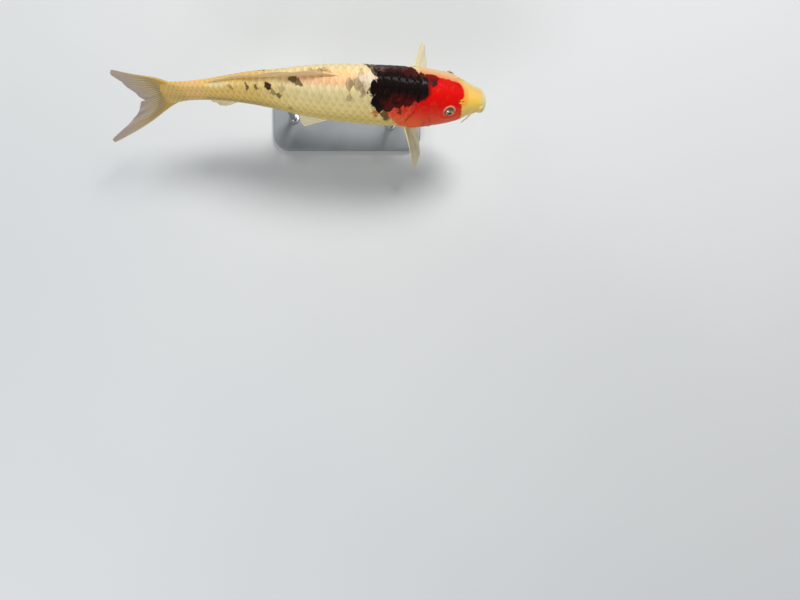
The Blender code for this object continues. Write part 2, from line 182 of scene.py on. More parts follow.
def bell(at, centre=0.0, spread=1.0):
    """1 at its centre, and falling away on both sides."""
    return np.exp(-(((at - centre) / spread) ** 2))


def rise(at, low, high):
    """A smooth step from 0 to 1."""
    share = np.clip((at - low) / (high - low), 0, 1)
    return share * share * (3 - 2 * share)


def unit(vectors):
    """The same directions with a length of 1."""
    vectors = np.asarray(vectors, float)
    return vectors / np.maximum(np.linalg.norm(vectors, axis=-1, keepdims=True), 1e-12)


def ring(turn, one, two):
    """Directions that turn, in radians, from one towards two."""
    return np.cos(turn)[..., None] * one + np.sin(turn)[..., None] * two


def axis(u):
    """Points of the body's axis at stations u."""
    u = np.asarray(u, float)
    swing = through(*zip(*SWING), u) * STANDARD_LENGTH
    return np.stack([SNOUT_X - STANDARD_LENGTH * u, swing, np.full(u.shape, AXIS_HEIGHT)], -1)


def leaning(u, extra=0.0):
    """Unit vectors towards the back and the left side, after the body's roll."""
    roll = np.radians(through(*zip(*ROLL), u) + extra)
    none = np.zeros_like(roll)
    back = np.stack([none, np.sin(roll), np.cos(roll)], -1)
    left = np.stack([none, np.cos(roll), -np.sin(roll)], -1)
    return back, left


def section(u):
    """Half width, back and belly of the body, in metres."""
    table = np.array(BODY).T
    cap = np.sqrt(1 - (1 - np.clip(u / SNOUT_CAP, 0, 1)) ** 2)
    return [through(table[0], column, u) * STANDARD_LENGTH * cap for column in table[1:]]


def spread_out(u, angle):
    """How far a point of the surface lies to the left of the axis and above it."""
    u, angle = np.broadcast_arrays(np.asarray(u, float), np.asarray(angle, float))
    half, top, low = section(u)
    across, up = np.sin(np.radians(angle)), np.cos(np.radians(angle))
    power = 2 / SECTION_POWER
    across = np.sign(across) * np.abs(across) ** power * half
    up = np.sign(up) * np.abs(up) ** power * np.where(up > 0, top, low)
    return across, up


def hide(u, angle):
    """Points of the body's surface at stations u and angles in degrees."""
    across, up = spread_out(u, angle)
    back, left = leaning(np.broadcast_to(u, across.shape))
    return axis(np.broadcast_to(u, across.shape)) + across[..., None] * left + up[..., None] * back


def thinned(u, points):
    """Points of the surface, drawn in where the flesh thins out into the tail fin."""
    _, left = leaning(u)
    sideways = np.sum((points - axis(u)) * left, -1, keepdims=True) * left
    return points - sideways * TAIL_THINNING * rise(u, *TAIL_THINS)[..., None]


def gill_line(angle):
    """The station where the head ends, round the body."""
    side = np.abs((np.asarray(angle, float) + 180) % 360 - 180)
    reach = (GILL_SIDE - GILL_BACK) * bell(side, 92.0, 38.0)
    throat = (GILL_THROAT - GILL_BACK) * np.clip((side - 130) / 50, 0, 1) ** 2
    return GILL_BACK + reach + throat


def facing(points, closed=False):
    """Unit normals of a grid of points, from the directions along its rows and columns."""
    down = np.gradient(points, axis=0)
    if closed:
        over = np.roll(points, -1, 1) - np.roll(points, 1, 1)
    else:
        over = np.gradient(points, axis=1)
    return unit(np.cross(over, down))


# ---------------------------------------------------------------- materials


def set_stops(elements, stops):
    """A colour ramp's places and colours. It starts with two."""
    for k, (at, colour) in enumerate(stops):
        stop = elements[k] if k < 2 else elements.new(at)
        stop.position = at
        stop.color = colour


def set_points(mapping, points):
    """A curve's points. It starts with two."""
    curve = mapping.curves[0]
    curve.points[0].location, curve.points[1].location = points[0], points[-1]
    for x, y in points[1:-1]:
        curve.points.new(x, y)
    mapping.update()


def add_node(tree, kind, settings=None, sockets=None, out=0):
    """A node with its settings made first, then its sockets. Returns one output."""
    made = tree.nodes.new(kind)
    for key, value in (settings or {}).items():
        if key == "stops":
            set_stops(made.color_ramp.elements, value)
        elif key == "points":
            set_points(made.mapping, value)
        else:
            setattr(made, key, value)
    for key, value in (sockets or {}).items():
        if isinstance(value, bpy.types.NodeSocket):
            tree.links.new(value, made.inputs[key])
        else:
            made.inputs[key].default_value = value
    return made.outputs[out] if made.outputs else None


class Wire:
    """A node's output. Ordinary arithmetic on it adds Math nodes."""

    def __init__(self, paint, socket):
        self.paint, self.socket = paint, socket

    def _with(self, operation, one, two):
        return self.paint.node("Math", {"operation": operation}, {0: one, 1: two})

    def __add__(self, other):
        return self._with("ADD", self, other)

    def __sub__(self, other):
        return self._with("SUBTRACT", self, other)

    def __rsub__(self, other):
        return self._with("SUBTRACT", other, self)

    def __mul__(self, other):
        return self._with("MULTIPLY", self, other)

    def __truediv__(self, other):
        return self._with("DIVIDE", self, other)

    def __pow__(self, other):
        return self._with("POWER", self, other)

    def __or__(self, other):
        return self._with("MAXIMUM", self, other)

    def __and__(self, other):
        return self._with("MINIMUM", self, other)

    def __abs__(self):
        return self._with("ABSOLUTE", self, 0.0)

    __radd__ = __add__


class Paint:
    """A material's nodes."""

    def __init__(self, name):
        self.material = bpy.data.materials.new(name)
        self.material.use_nodes = True
        self.tree = self.material.node_tree
        self.tree.nodes.clear()

    def node(self, kind, settings=None, sockets=None, out=0):
        """A shader node, with wires or plain values in its sockets."""
        given = {k: v.socket if isinstance(v, Wire) else v for k, v in (sockets or {}).items()}
        return Wire(self, add_node(self.tree, "ShaderNode" + kind, settings, given, out))

    def place(self):
        """The point's own place on the object."""
        return self.node("TexCoord", out=3)

    def uv(self, name):
        """The two coordinates of a UV map."""
        found = self.node("UVMap", {"uv_map": name})
        return [self.node("SeparateXYZ", None, {0: found}, out=i) for i in (0, 1)]

    def attribute(self, name):
        """A fact that the piece's points carry."""
        return self.node("Attribute", {"attribute_name": name}, out=2)

    def noise(self, scale, detail=2.0, vector=None, rough=0.5, stretch=None):
        """Cloudy noise from 0 to 1, by place unless there's a vector."""
        where = vector or self.place()
        if stretch:
            where = self.node("Mapping", None, {"Vector": where, "Scale": stretch})
        sockets = {"Vector": where, "Scale": scale, "Detail": detail, "Roughness": rough}
        return self.node("TexNoise", None, sockets)

    def ramp(self, value, low, high):
        """A smooth step from 0 at low to 1 at high, whichever is greater."""
        sockets = {"Value": value, "From Min": low, "From Max": high}
        return self.node("MapRange", {"interpolation_type": "SMOOTHSTEP"}, sockets)

    def share(self, value, low, high):
        """0 at low and 1 at high, straight between them."""
        return self.node("MapRange", None, {"Value": value, "From Min": low, "From Max": high})

    def curve(self, value, points):
        """A smooth line through points of value and height, level beyond both ends."""
        x, y = np.array(points, float).T
        spots = [((a - x[0]) / np.ptp(x), (b - y.min()) / np.ptp(y)) for a, b in points]
        height = self.node("FloatCurve", {"points": spots}, {1: self.share(value, x[0], x[-1])})
        return height * np.ptp(y) + y.min()

    def bands(self, value, stops):
        """Colours at the given values, blended between them."""
        low, high = stops[0][0], stops[-1][0]
        spots = [((at - low) / (high - low), colour) for at, colour in stops]
        return self.node("ValToRGB", {"stops": spots}, {0: self.share(value, low, high)})

    def sine(self, value):
        """Waves from -1 to 1."""
        return self.node("Math", {"operation": "SINE"}, {0: value})

    def mix(self, share, one, two):
        """Colour one, with a share of colour two."""
        return self.node("Mix", {"data_type": "RGBA"}, {0: share, 6: one, 7: two}, out=2)

    def over(self, colour, *layers):
        """A colour with layers laid over it in turn, each a share and a colour."""
        for share, shade in layers:
            colour = self.mix(share, colour, shade)
        return colour

    def bump(self, height, strength, distance):
        """A normal bent by a height, over a distance in metres."""
        sockets = {"Height": height, "Strength": strength, "Distance": distance}
        return self.node("Bump", None, sockets)

    def finish(self, **sockets):
        """Closes the material with these sockets of its shader."""
        sockets = {name.replace("_", " "): value for name, value in sockets.items()}
        shader = self.node("BsdfPrincipled", None, sockets)
        self.node("OutputMaterial", None, {"Surface": shader})
        return self.material


def tint(red, green, blue):
    """A colour given as it looks on a screen."""
    levels = (red, green, blue)
    return (*(((c + 0.055) / 1.055) ** 2.4 if c > 0.04 else c / 12.92 for c in levels), 1.0)


LIP = tint(0.88, 0.83, 0.60)
YELLOW = tint(0.97, 0.80, 0.34)
AMBER = tint(1.00, 0.66, 0.26)
BLUSH = tint(0.86, 0.55, 0.36)
PEACH = tint(0.84, 0.68, 0.48)
SAND = tint(0.76, 0.68, 0.49)
MOSS = tint(0.80, 0.77, 0.52)
RED = tint(0.87, 0.035, 0.02)
BRICK = tint(0.86, 0.30, 0.09)
EMBER = tint(0.90, 0.34, 0.08)
BLACK = tint(0.060, 0.022, 0.020)
WINE = tint(0.48, 0.03, 0.03)
MAROON = tint(0.25, 0.045, 0.04)
BROWN = tint(0.25, 0.12, 0.05)
UMBER = tint(0.36, 0.20, 0.04)
SLATE = tint(0.27, 0.23, 0.24)
LILAC = tint(0.88, 0.82, 0.78)
TAUPE = tint(0.52, 0.43, 0.31)
CREAM = tint(0.97, 0.88, 0.66)
SHELL = tint(0.95, 0.73, 0.54)
STRAW = tint(0.95, 0.85, 0.54)
OCHRE = tint(0.80, 0.69, 0.34)
OLIVE = tint(0.60, 0.50, 0.20)
GOLD = tint(0.86, 0.66, 0.30)
HONEY = tint(0.83, 0.67, 0.35)
PEARL = tint(0.95, 0.91, 0.80)
FLECK = tint(0.25, 0.17, 0.04)
HAZE = tint(0.84, 0.85, 0.86)
FLOOR, FLOOR_FADES = 9.0, (0.35, 1.5)  # from the middle
LENS, FILM = 31.5, 36.0
CAMERA = (0.0563, -0.194, AXIS_HEIGHT + 0.656)
ROOM_LIGHT = ((0.80, 0.84, 0.88, 1.0), 0.18)  # its colour and strength
LIT = (-0.03, 0.0, 0.09)  # where the lamps point

# Bands of colour round the body, from -180 on the left of the belly to 180 on its right
FRONT_BANDS = (
    (-180.0, PEARL), (-118.0, PEARL), (-70.0, tint(0.90, 0.84, 0.68)), (-32.0, tint(0.82, 0.76, 0.58)),
    (-10.0, tint(0.93, 0.82, 0.60)), (14.0, CREAM), (42.0, tint(0.96, 0.88, 0.63)), (66.0, STRAW),
    (92.0, OCHRE), (116.0, tint(0.82, 0.74, 0.46)), (142.0, PEARL), (180.0, PEARL),
)
STALK_BANDS = (
    (-180.0, PEARL), (-120.0, tint(0.90, 0.80, 0.56)), (-40.0, tint(0.78, 0.68, 0.43)), (-6.0, GOLD),
    (18.0, tint(0.92, 0.78, 0.46)), (44.0, tint(0.92, 0.76, 0.40)), (72.0, tint(0.87, 0.71, 0.33)),
    (100.0, OLIVE), (130.0, tint(0.74, 0.63, 0.34)), (180.0, PEARL),
)
SNOUT_BANDS = (
    (-180.0, PEARL), (-125.0, tint(0.90, 0.84, 0.62)), (-52.0, MOSS), (-18.0, tint(0.86, 0.72, 0.44)),
    (4.0, tint(0.94, 0.76, 0.42)), (30.0, YELLOW), (62.0, tint(1.0, 0.83, 0.40)),
    (100.0, tint(0.92, 0.81, 0.47)), (135.0, PEARL), (180.0, PEARL),
)
CHEEK_BANDS = (
    (-140.0, PEARL), (-100.0, tint(0.90, 0.80, 0.62)), (-55.0, SAND), (-36.0, PEACH), (-20.0, BLUSH),
)
THROAT_BANDS = ((108.0, BRICK), (122.0, tint(0.90, 0.62, 0.40)), (136.0, PEARL))
BLOOD_BANDS = (
    (-18.0, tint(0.76, 0.03, 0.02)), (8.0, RED), (46.0, RED), (70.0, tint(0.93, 0.22, 0.07)), (98.0, BRICK),
)
FRINGE_BANDS = ((0.20, BROWN), (0.24, MAROON), (0.32, tint(0.17, 0.07, 0.065)))  # along the body

# Edges of the markings across the body, as angle and station
BROW = (
    (-22.0, 0.118), (-17.0, 0.096), (-6.0, 0.084), (10.0, 0.078), (26.0, 0.079), (37.0, 0.093),
    (46.0, 0.085), (80.0, 0.084), (120.0, 0.090),
)
NAPE = (
    (-20.0, 0.150), (-13.0, 0.165), (0.0, 0.186), (7.0, 0.205), (14.0, 0.30), (60.0, 0.322),
    (70.0, 0.308), (82.0, 0.300), (96.0, 0.288), (120.0, 0.274),
)
CHEST = (
    (-22.0, 0.204), (-8.0, 0.190), (10.0, 0.187), (24.0, 0.189), (34.0, 0.201), (42.0, 0.222),
    (50.0, 0.254), (57.0, 0.285), (64.0, 0.312), (72.0, 0.352),
)
LOIN = (
    (-46.0, 0.364), (-30.0, 0.358), (-18.0, 0.350), (-8.0, 0.343), (3.0, 0.339), (10.0, 0.343),
    (16.0, 0.361), (30.0, 0.363), (36.0, 0.353), (42.0, 0.362), (54.0, 0.360), (64.0, 0.342),
    (72.0, 0.330),
)
STRAP = ((-52.0, 0.374), (-38.0, 0.370), (-24.0, 0.362), (-12.0, 0.348), (-4.0, 0.336))

# And along it, as station and angle
SADDLE_TOP = (
    (0.19, -6.0), (0.215, -9.0), (0.245, -10.0), (0.27, -15.0), (0.305, -14.0), (0.34, -6.0),
)
FRINGE_TOP = (
    (0.196, -19.0), (0.214, -24.0), (0.230, -33.0), (0.246, -43.0), (0.262, -48.0), (0.300, -48.0),
    (0.330, -44.0), (0.365, -34.0),
)

FLECKS = (  # station, angle, half length, half height and depth
    (0.667, 32.0, 0.0125, 11.5, 1.00),
    (0.642, 55.0, 0.0080, 7.0, 0.80),
    (0.654, 46.0, 0.0070, 8.0, 0.55),
    (0.708, 32.0, 0.0075, 11.0, 0.85),
    (0.735, 33.0, 0.0070, 11.0, 0.80),
    (0.573, 18.0, 0.0130, 5.5, 0.80),
    (0.592, 11.0, 0.0120, 6.0, 0.85),
    (0.789, 36.0, 0.0080, 14.0, 0.50),
    (0.623, 34.0, 0.0080, 14.0, 0.30),
    (0.424, 43.0, 0.0085, 7.0, 0.45),
    (0.612, 86.0, 0.0060, 7.0, 0.50),
    (0.500, -14.0, 0.0120, 4.0, 0.45),
    (0.560, -58.0, 0.0160, 10.0, 0.60),
    (0.690, -44.0, 0.0130, 13.0, 0.70),
)


def markings(paint, u, r):
    """The hide's colour at station u and r degrees down its right side, how dark it is, and how red."""
    broad, ragged = paint.noise(70.0, 2.0), paint.noise(210.0, 3.0, rough=0.62)
    fine = paint.noise(620.0, 3.0, rough=0.65)
    ramp, mix, curve, bands, over = paint.ramp, paint.mix, paint.curve, paint.bands, paint.over
    torn_u = u + (ragged - 0.5) * 0.020 + (fine - 0.5) * 0.008
    torn_r = r + (paint.noise(180.0, 3.0, rough=0.6) - 0.5) * 16.0 + (fine - 0.5) * 6.0
    soft_u, soft_r = u + (broad - 0.5) * 0.05, r + (ragged - 0.5) * 12.0
    near_u, near_r = u + (ragged - 0.5) * 0.010, r + (ragged - 0.5) * 7.0
    torn, soft, near = (torn_u, torn_r), (soft_u, soft_r), (near_u, near_r)

    def spot(cu, cr, au, ar, edge=0.30, at=torn):
        """1 inside an oval, and 0 outside it."""
        gone = ((at[0] - cu) / au) ** 2.0 + ((at[1] - cr) / ar) ** 2.0
        return ramp(gone, 1.0 + edge, 1.0 - edge)

    def within(value, low, high, blur):
        """1 between low and high, with soft edges."""
        return ramp(value, low - blur, low + blur) * ramp(value, high + blur, high - blur)

    # Ground colour: cream on the back, ochre down the right side, pearl below, gold at the tail, and a
    # painted shadow beside the dorsal fin's base
    ground = mix(ramp(soft_u, 0.56, 0.74), bands(soft_r, FRONT_BANDS), bands(soft_r, STALK_BANDS))
    ground = over(
        ground,
        (spot(0.50, 6.0, 0.115, 17.0, 0.8, soft) * 0.9, SHELL),
        (spot(0.455, 4.0, 0.035, 9.0, 0.8, soft) * 0.5, tint(0.99, 0.80, 0.54)),
        (spot(0.825, 18.0, 0.045, 17.0, 0.7, soft) * 0.65, tint(0.95, 0.87, 0.64)),
        (ramp(soft_u, 0.86, 0.90) * ramp(soft_u, 0.955, 0.93) * 0.55, tint(0.93, 0.72, 0.46)),
        (ramp(soft_u, 0.925, 0.975) * 0.7, HONEY),
        (ramp(paint.noise(95.0, 4.0, rough=0.6), 0.38, 0.70) * 0.16, OCHRE),
        # A painted shadow of the dorsal fin, along the left of its base
        (spot(0.53, -11.0, 0.045, 4.0, 0.7) * 0.6, TAUPE),
    )

    # Face: pale lips, yellow snout, a blush over the left cheek
    bridge = ramp(u + (ragged - 0.5) * 0.018, 0.058, 0.076) * ramp(r, -16.0, 2.0) * ramp(r, 60.0, 40.0)
    lower = ramp(r, -36.0, -66.0)
    fade = ramp(soft_u, 0.070, 0.094) * (1.0 - lower) + ramp(soft_u, 0.040, 0.140) * lower
    face = over(
        LIP,
        (ramp(u, 0.006, 0.030), bands(soft_r, SNOUT_BANDS)),
        (bridge, AMBER),
        (fade * ramp(r, 30.0, 10.0), bands(soft_r, CHEEK_BANDS)),
        (ramp(soft_u, 0.070, 0.10) * ramp(soft_r, 96.0, 112.0), bands(soft_r, THROAT_BANDS)),
    )
    colour = mix(ramp(u + (broad - 0.5) * 0.02, 0.232, 0.205), ground, face)

    # Red cap, running back as brick and ember below the saddle
    brow, nape = curve(r, BROW), curve(torn_r, NAPE)
    wander = 0.006 + ramp(r, 44.0, 70.0) * 0.016
    edge_u = u + (ragged - 0.5) * wander + (fine - 0.5) * 0.004
    red = ramp(edge_u - brow, -0.0025, 0.0025) * ramp(u + (ragged - 0.5) * 0.022 - nape, 0.005, -0.005)
    red = red * ramp(torn_r, -19.0, -14.0) * ramp(soft_r, 124.0, 106.0)
    blood = over(
        bands(soft_r, BLOOD_BANDS),
        (ramp(soft_u, 0.185, 0.225) * ramp(soft_r, 62.0, 88.0), EMBER),
        (ramp(ragged, 0.50, 0.75) * 0.05, AMBER),
        # A painted shade line along a slit of the right gill cover
        (within(torn_u, 0.196, 0.206, 0.004) * ramp(r, 78.0, 90.0) * 0.35, BROWN),
    )
    lobe = spot(0.1775, -8.0, 0.0205, 14.5, 0.22)

    # Black saddle with maroon and brown fringes
    chest, loin = curve(torn_r, CHEST), curve(torn_r, LOIN)
    top, fringe_top = curve(torn_u, SADDLE_TOP), curve(torn_u, FRINGE_TOP)
    behind = ramp(loin - torn_u, -0.003, 0.003)
    black = ramp(torn_u - chest, -0.003, 0.003) * behind * ramp(torn_r - top, -3.0, 2.0)
    hem = ramp(torn_u - chest, -0.014, -0.002) * behind
    hem = hem * ramp(torn_r - top, -8.0, -3.0) * ramp(torn_r, 62.0, 52.0)
    fringe = ramp(torn_u, 0.192, 0.200) * behind
    fringe = fringe * ramp(torn_r - fringe_top, -3.0, 3.0) * ramp(torn_r, 2.0, -6.0)
    # Painted highlight: mauve patches of wet sheen on the dark left shoulder
    painted_sheen = spot(0.330, -30.0, 0.022, 13.0, 0.6) * ramp(ragged, 0.42, 0.60)
    shade = within(torn_u, 0.252, 0.372, 0.012) * ramp(torn_r, -70.0, -46.0) * ramp(torn_r, -20.0, -30.0)
    strap = ramp(abs(torn_u - curve(r, STRAP)), 0.0105, 0.0045)
    strap = strap * ramp(r, -54.0, -46.0) * ramp(r, 0.0, -6.0)
    soot = black | strap * 0.9
    glow = ramp(r, 20.0, 46.0) * ramp(u, 0.345, 0.300)
    glow = glow * ramp(paint.noise(130.0, 4.0, rough=0.6), 0.34, 0.62)
    soot_colour = over(
        BLACK,
        (glow * 0.85, tint(0.34, 0.075, 0.045)),
        (glow * ramp(fine, 0.50, 0.66) * 0.55, WINE),
    )

    # Behind the saddle: lilac bite, taupe arc, brown mottles and dark flecks
    clear, uncovered = 1.0 - soot, 1.0 - black
    bite = spot(0.364, 2.0, 0.028, 14.0, 0.5) * clear * ramp(ragged, 0.26, 0.50)
    arc = spot(0.400, 22.0, 0.028, 19.0, 0.3, near) * (1.0 - spot(0.402, 42.0, 0.017, 19.0, 0.3, near))
    mottle = spot(0.272, 63.0, 0.008, 7.0) | spot(0.316, 76.0, 0.012, 15.0)
    rust = spot(0.346, 70.0, 0.012, 11.0) * ramp(ragged, 0.36, 0.52) * uncovered
    flecks = 0.0
    for cu, cr, au, ar, depth in FLECKS:
        flecks = spot(cu, cr, au, ar, 0.35) * depth | flecks
    colour = over(
        colour,
        (red, blood),
        (lobe, mix(ramp(torn_r, -14.0, -2.0), WINE, MAROON)),
        (hem * 0.75, WINE),
        (fringe, bands(soft_u, FRINGE_BANDS)),
        # Painted highlight on the dark left shoulder
        (painted_sheen * 0.55, tint(0.56, 0.48, 0.47)),
        (shade * ramp(ragged, 0.28, 0.60) * 0.8, SLATE),
        (soot, soot_colour),
        (spot(0.372, 14.0, 0.020, 26.0, 0.6) * clear * 0.45, tint(0.74, 0.67, 0.57)),
        (bite * 0.65, LILAC),
        (arc * clear * ramp(fine, 0.16, 0.46) * 0.80, TAUPE),
        (spot(0.386, -10.0, 0.006, 11.0) * 0.5, TAUPE),
        (mottle * ramp(broad, 0.36, 0.52) * 0.9 * uncovered, UMBER),
        (rust * 0.85, tint(0.70, 0.36, 0.08)),
        (flecks, FLECK),
    )
    return colour, soot | flecks | fringe | mottle | rust, red | lobe


def paint_skin():
    """Bare wet hide, with fine pores and painted shade in its creases, pits and grooves."""
    paint = Paint("wet_hide")
    u, turn = paint.uv("place")
    r = (turn - 0.5) * 360.0
    colour, _, _ = markings(paint, u, r)
    crease, lid = paint.attribute("crease"), paint.attribute("lid")
    # The upper side of each lid ring, which gets a painted highlight
    above = paint.ramp(abs(r), EYE_ANGLE + 3.0, EYE_ANGLE - 5.0)
    colour = paint.over(
        colour,
        # A pale lid ring round each eye, with a painted highlight along its upper side
        (lid * (0.20 + above * 0.45), tint(0.93, 0.72, 0.60)),
        # Painted shade in the creases, pits and grooves of the head
        (crease * 0.68, tint(0.22, 0.09, 0.04)),
    )
    grain = paint.noise(1500.0, 3.0, rough=0.6)
    pores = paint.node("TexVoronoi", None, {"Vector": paint.place(), "Scale": 900.0})
    veins = paint.noise(260.0, 4.0, rough=0.7)
    height = grain * 0.5 + pores * 0.5 + veins * 0.8
    return paint.finish(
        Base_Color=colour,
        Roughness=0.50 + grain * 0.14,
        Specular_IOR_Level=0.07,
        Coat_Weight=0.24 - crease * 0.2,
        Coat_Roughness=0.14,
        Normal=paint.bump(height, 0.55, 0.00018),
    )


def paint_scales():
    """The hide's markings on glossy scales, each with growth rings, a rim, painted shade at its root and a
    painted sheen near its edge.
    """
    paint = Paint("scale_coat")
    u, turn = paint.uv("place")
    along, across = paint.uv("plate")
    colour, black, red = markings(paint, u, (turn - 0.5) * 360.0)
    plain = 1.0 - (black | red * 0.75)
    chance = paint.attribute("chance")
    across = abs(across * 2.0 - 1.0)
    rim = paint.ramp(along, 0.90, 0.995)
    inner = paint.ramp(along, 0.34, 0.62)
    painted_scale_sheen = paint.ramp(along, 0.55, 0.84) * paint.ramp(along, 0.95, 0.88)
    oval = ((along - 0.69) / 0.13) ** 2.0 + (across / 0.085) ** 2.0
    pore = paint.attribute("lateral") * paint.ramp(oval, 1.0, 0.25)
    colour = paint.over(
        colour,
        # Painted shade at each scale's root, where the scale in front overlaps it
        ((1.0 - inner) * 0.12 * plain, tint(0.60, 0.47, 0.22)),
        (rim * 0.12 * plain, tint(0.60, 0.46, 0.20)),
        # A painted sheen just inside each scale's rim
        (painted_scale_sheen * 0.16 * plain, tint(1.0, 0.96, 0.86)),
        (rim * black * 0.22, tint(0.16, 0.13, 0.13)),
        (paint.ramp(chance, 0.45, 1.0) * 0.16 * plain, OCHRE),
        (pore * 0.45, tint(0.45, 0.33, 0.16)),
    )
    rings = paint.sine(along * 90.0 + across**2.0 * 9.0)
    rays = paint.sine(across * 26.0)
    grain = paint.noise(1300.0, 3.0)
    height = rings * 0.10 + rays * inner * 0.16 + grain * 0.5 - pore * 1.5
    return paint.finish(
        Base_Color=colour,
        Roughness=0.48 + grain * 0.14 + black * 0.12,
        Specular_IOR_Level=0.07,
        Coat_Weight=0.20 - black * 0.17,
        Coat_Roughness=0.08,
        Normal=paint.bump(height, 0.5, 0.00012),
    )


def paint_fin(name, root, web, ray, tip):
    """A fin's paint: body colour at the root, and paler rays in a thinner web."""
    paint = Paint(name)
    over, along = paint.uv("ray")
    ridge = paint.attribute("ridge")
    cloudy = paint.noise(140.0, 3.0)
    joints = paint.ramp(paint.sine(along * 260.0 + over * 40.0), 0.55, 1.0)
    joints = joints * ridge * paint.ramp(along, 0.2, 0.4)
    colour = paint.over(
        web,
        (ridge, ray),
        (paint.ramp(along + (cloudy - 0.5) * 0.5, 0.45, 0.95), tip),
        (paint.ramp(along + (cloudy - 0.5) * 0.3, 0.34, 0.06), root),
        (joints * 0.08, tint(0.60, 0.48, 0.26)),
    )
    grain = paint.noise(1400.0, 3.0)
    solid = ridge * 0.26 + paint.ramp(along, 0.55, 0.06) * 0.5 + 0.56
    return paint.finish(
        Base_Color=colour,
        Roughness=0.38 + grain * 0.14,
        Specular_IOR_Level=0.22,
        Alpha=solid & 1.0,
        Coat_Weight=0.30,
        Coat_Roughness=0.12,
        Normal=paint.bump(grain * 0.6 - joints, 0.45, 0.0001),
    )


def paint_eye():
    """A dark pupil, a gold ring and a streaked iris under glass, out from the middle."""
    paint = Paint("glass_eye")
    polar, around = paint.attribute("polar"), paint.attribute("around")
    swirl = paint.node("CombineXYZ", None, {0: around * 6.0, 1: polar * 3.0})
    streaks = paint.noise(5.0, 4.0, swirl, 0.7)
    iris = paint.mix(paint.ramp(streaks, 0.35, 0.70), tint(0.50, 0.46, 0.33), tint(0.80, 0.75, 0.58))
    iris = paint.over(
        tint(0.86, 0.66, 0.30),
        (paint.ramp(polar, 0.168, 0.182), iris),
        (paint.ramp(polar, 0.215, 0.285) * 0.8, tint(0.34, 0.29, 0.20)),
        (paint.ramp(streaks, 0.56, 0.70) * 0.35, tint(0.20, 0.16, 0.12)),
    )
    colour = paint.mix(paint.ramp(polar, 0.150, 0.160), tint(0.012, 0.012, 0.015), iris)
    return paint.finish(
        Base_Color=colour,
        Roughness=0.20,
        Metallic=paint.ramp(polar, 0.15, 0.17) * 0.35,
        Coat_Weight=1.0,
        Coat_Roughness=0.02,
        Normal=paint.bump(streaks, 0.25, 0.0001),
    )


def paint_barbel():
    """Pale flesh, pinker to the tip, with faint folds."""
    paint = Paint("barbel_flesh")
    along, _ = paint.uv("OFBake")
    soft = paint.noise(700.0, 3.0)
    folds = paint.sine(along * 150.0 + soft * 9.0)
    return paint.finish(
        Base_Color=paint.over(
            tint(0.88, 0.82, 0.56),
            (paint.ramp(along + (soft - 0.5) * 0.3, 0.15, 0.85), tint(0.94, 0.80, 0.62)),
            (paint.ramp(folds, 0.2, 1.0) * 0.08, tint(0.70, 0.52, 0.28)),
        ),
        Roughness=0.34 + soft * 0.1,
        Coat_Weight=0.4,
        Coat_Roughness=0.12,
        Normal=paint.bump(folds * 0.25 + soft, 0.3, 0.00008),
    )


def paint_base():
    """Grey satin paint with a fine speck."""
    paint = Paint("satin_paint")
    speck = paint.noise(2600.0, 3.0, rough=0.7)
    broad = paint.noise(26.0, 3.0)
    return paint.finish(
        Base_Color=paint.over(
            tint(0.50, 0.52, 0.54),
            (paint.ramp(broad, 0.3, 0.7), tint(0.54, 0.56, 0.58)),
            (paint.ramp(speck, 0.62, 0.78) * 0.25, tint(0.42, 0.43, 0.45)),
        ),
        Roughness=0.40 + broad * 0.12,
        Normal=paint.bump(speck, 0.25, 0.00006),
    )


def paint_rod():
    """Steel brushed round the rod."""
    paint = Paint("brushed_steel")
    brushed = paint.noise(900.0, 4.0, stretch=(1.0, 1.0, 14.0))
    return paint.finish(
        Base_Color=paint.mix(brushed, tint(0.70, 0.71, 0.73), tint(0.82, 0.83, 0.84)),
        Metallic=1.0,
        Roughness=0.24 + brushed * 0.16,
        Normal=paint.bump(brushed, 0.3, 0.00003),
    )


# ---------------------------------------------------------------- making pieces


def link(name, data, place=(0.0, 0.0, 0.0)):
    """A new object in the scene."""
    obj = bpy.data.objects.new(name, data)
    bpy.context.scene.collection.objects.link(obj)
    obj.location = place
    return obj


def piece(name, points, faces, material, nodes, maps=None, facts=None):
    """A finished piece from points and faces, with UV maps by corner and facts by point."""
    mesh = bpy.data.meshes.new(name)
    mesh.from_pydata(np.reshape(points, (-1, 3)).tolist(), [], [list(f) for f in faces])
    for label, corners in (maps or {}).items():
        layer = mesh.uv_layers.new(name=label)
        layer.data.foreach_set("uv", np.asarray(corners, np.float32).ravel())
    for label, values in (facts or {}).items():
        made = mesh.attributes.new(label, "FLOAT", "POINT")
        made.data.foreach_set("value", np.asarray(values, np.float32).ravel())
    return settle(name, mesh, material, nodes)


def settle(name, mesh, material, nodes):
    """Puts a made mesh in the scene under the root body, and hides the frame's parts that it stands for."""
    obj = link(name, mesh)
    mesh.materials.clear()
    mesh.materials.append(material)
    mesh.shade_smooth()
    mesh.validate()
    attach(obj, "root")
    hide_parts(*nodes)
    return obj


def quads(rows, columns, closed=False):
    """Corner places of a grid's faces as row and column, and the same as point numbers."""
    i, j = np.meshgrid(np.arange(rows - 1), np.arange(columns - (not closed)), indexing="ij")
    i, j = i.ravel(), j.ravel()
    places = np.stack([np.stack([i, i, i + 1, i + 1], 1), np.stack([j, j + 1, j + 1, j], 1)], -1)
    numbers = places[..., 0] * columns + places[..., 1] % columns
    return places, numbers


def fans(rows, columns):
    """Triangles from a tube's two ends to two more points, and the turn of each corner from 0 to 1."""
    j = np.arange(columns)
    k = (j + 1) % columns
    last, pole = (rows - 1) * columns, np.full(columns, rows * columns)
    faces = np.concatenate([np.stack([pole, k, j], 1), np.stack([pole + 1, last + j, last + k], 1)])
    turns = np.concatenate([np.stack([j + 0.5, j + 1, j], 1), np.stack([j + 0.5, j, j + 1], 1)])
    return faces, turns / columns


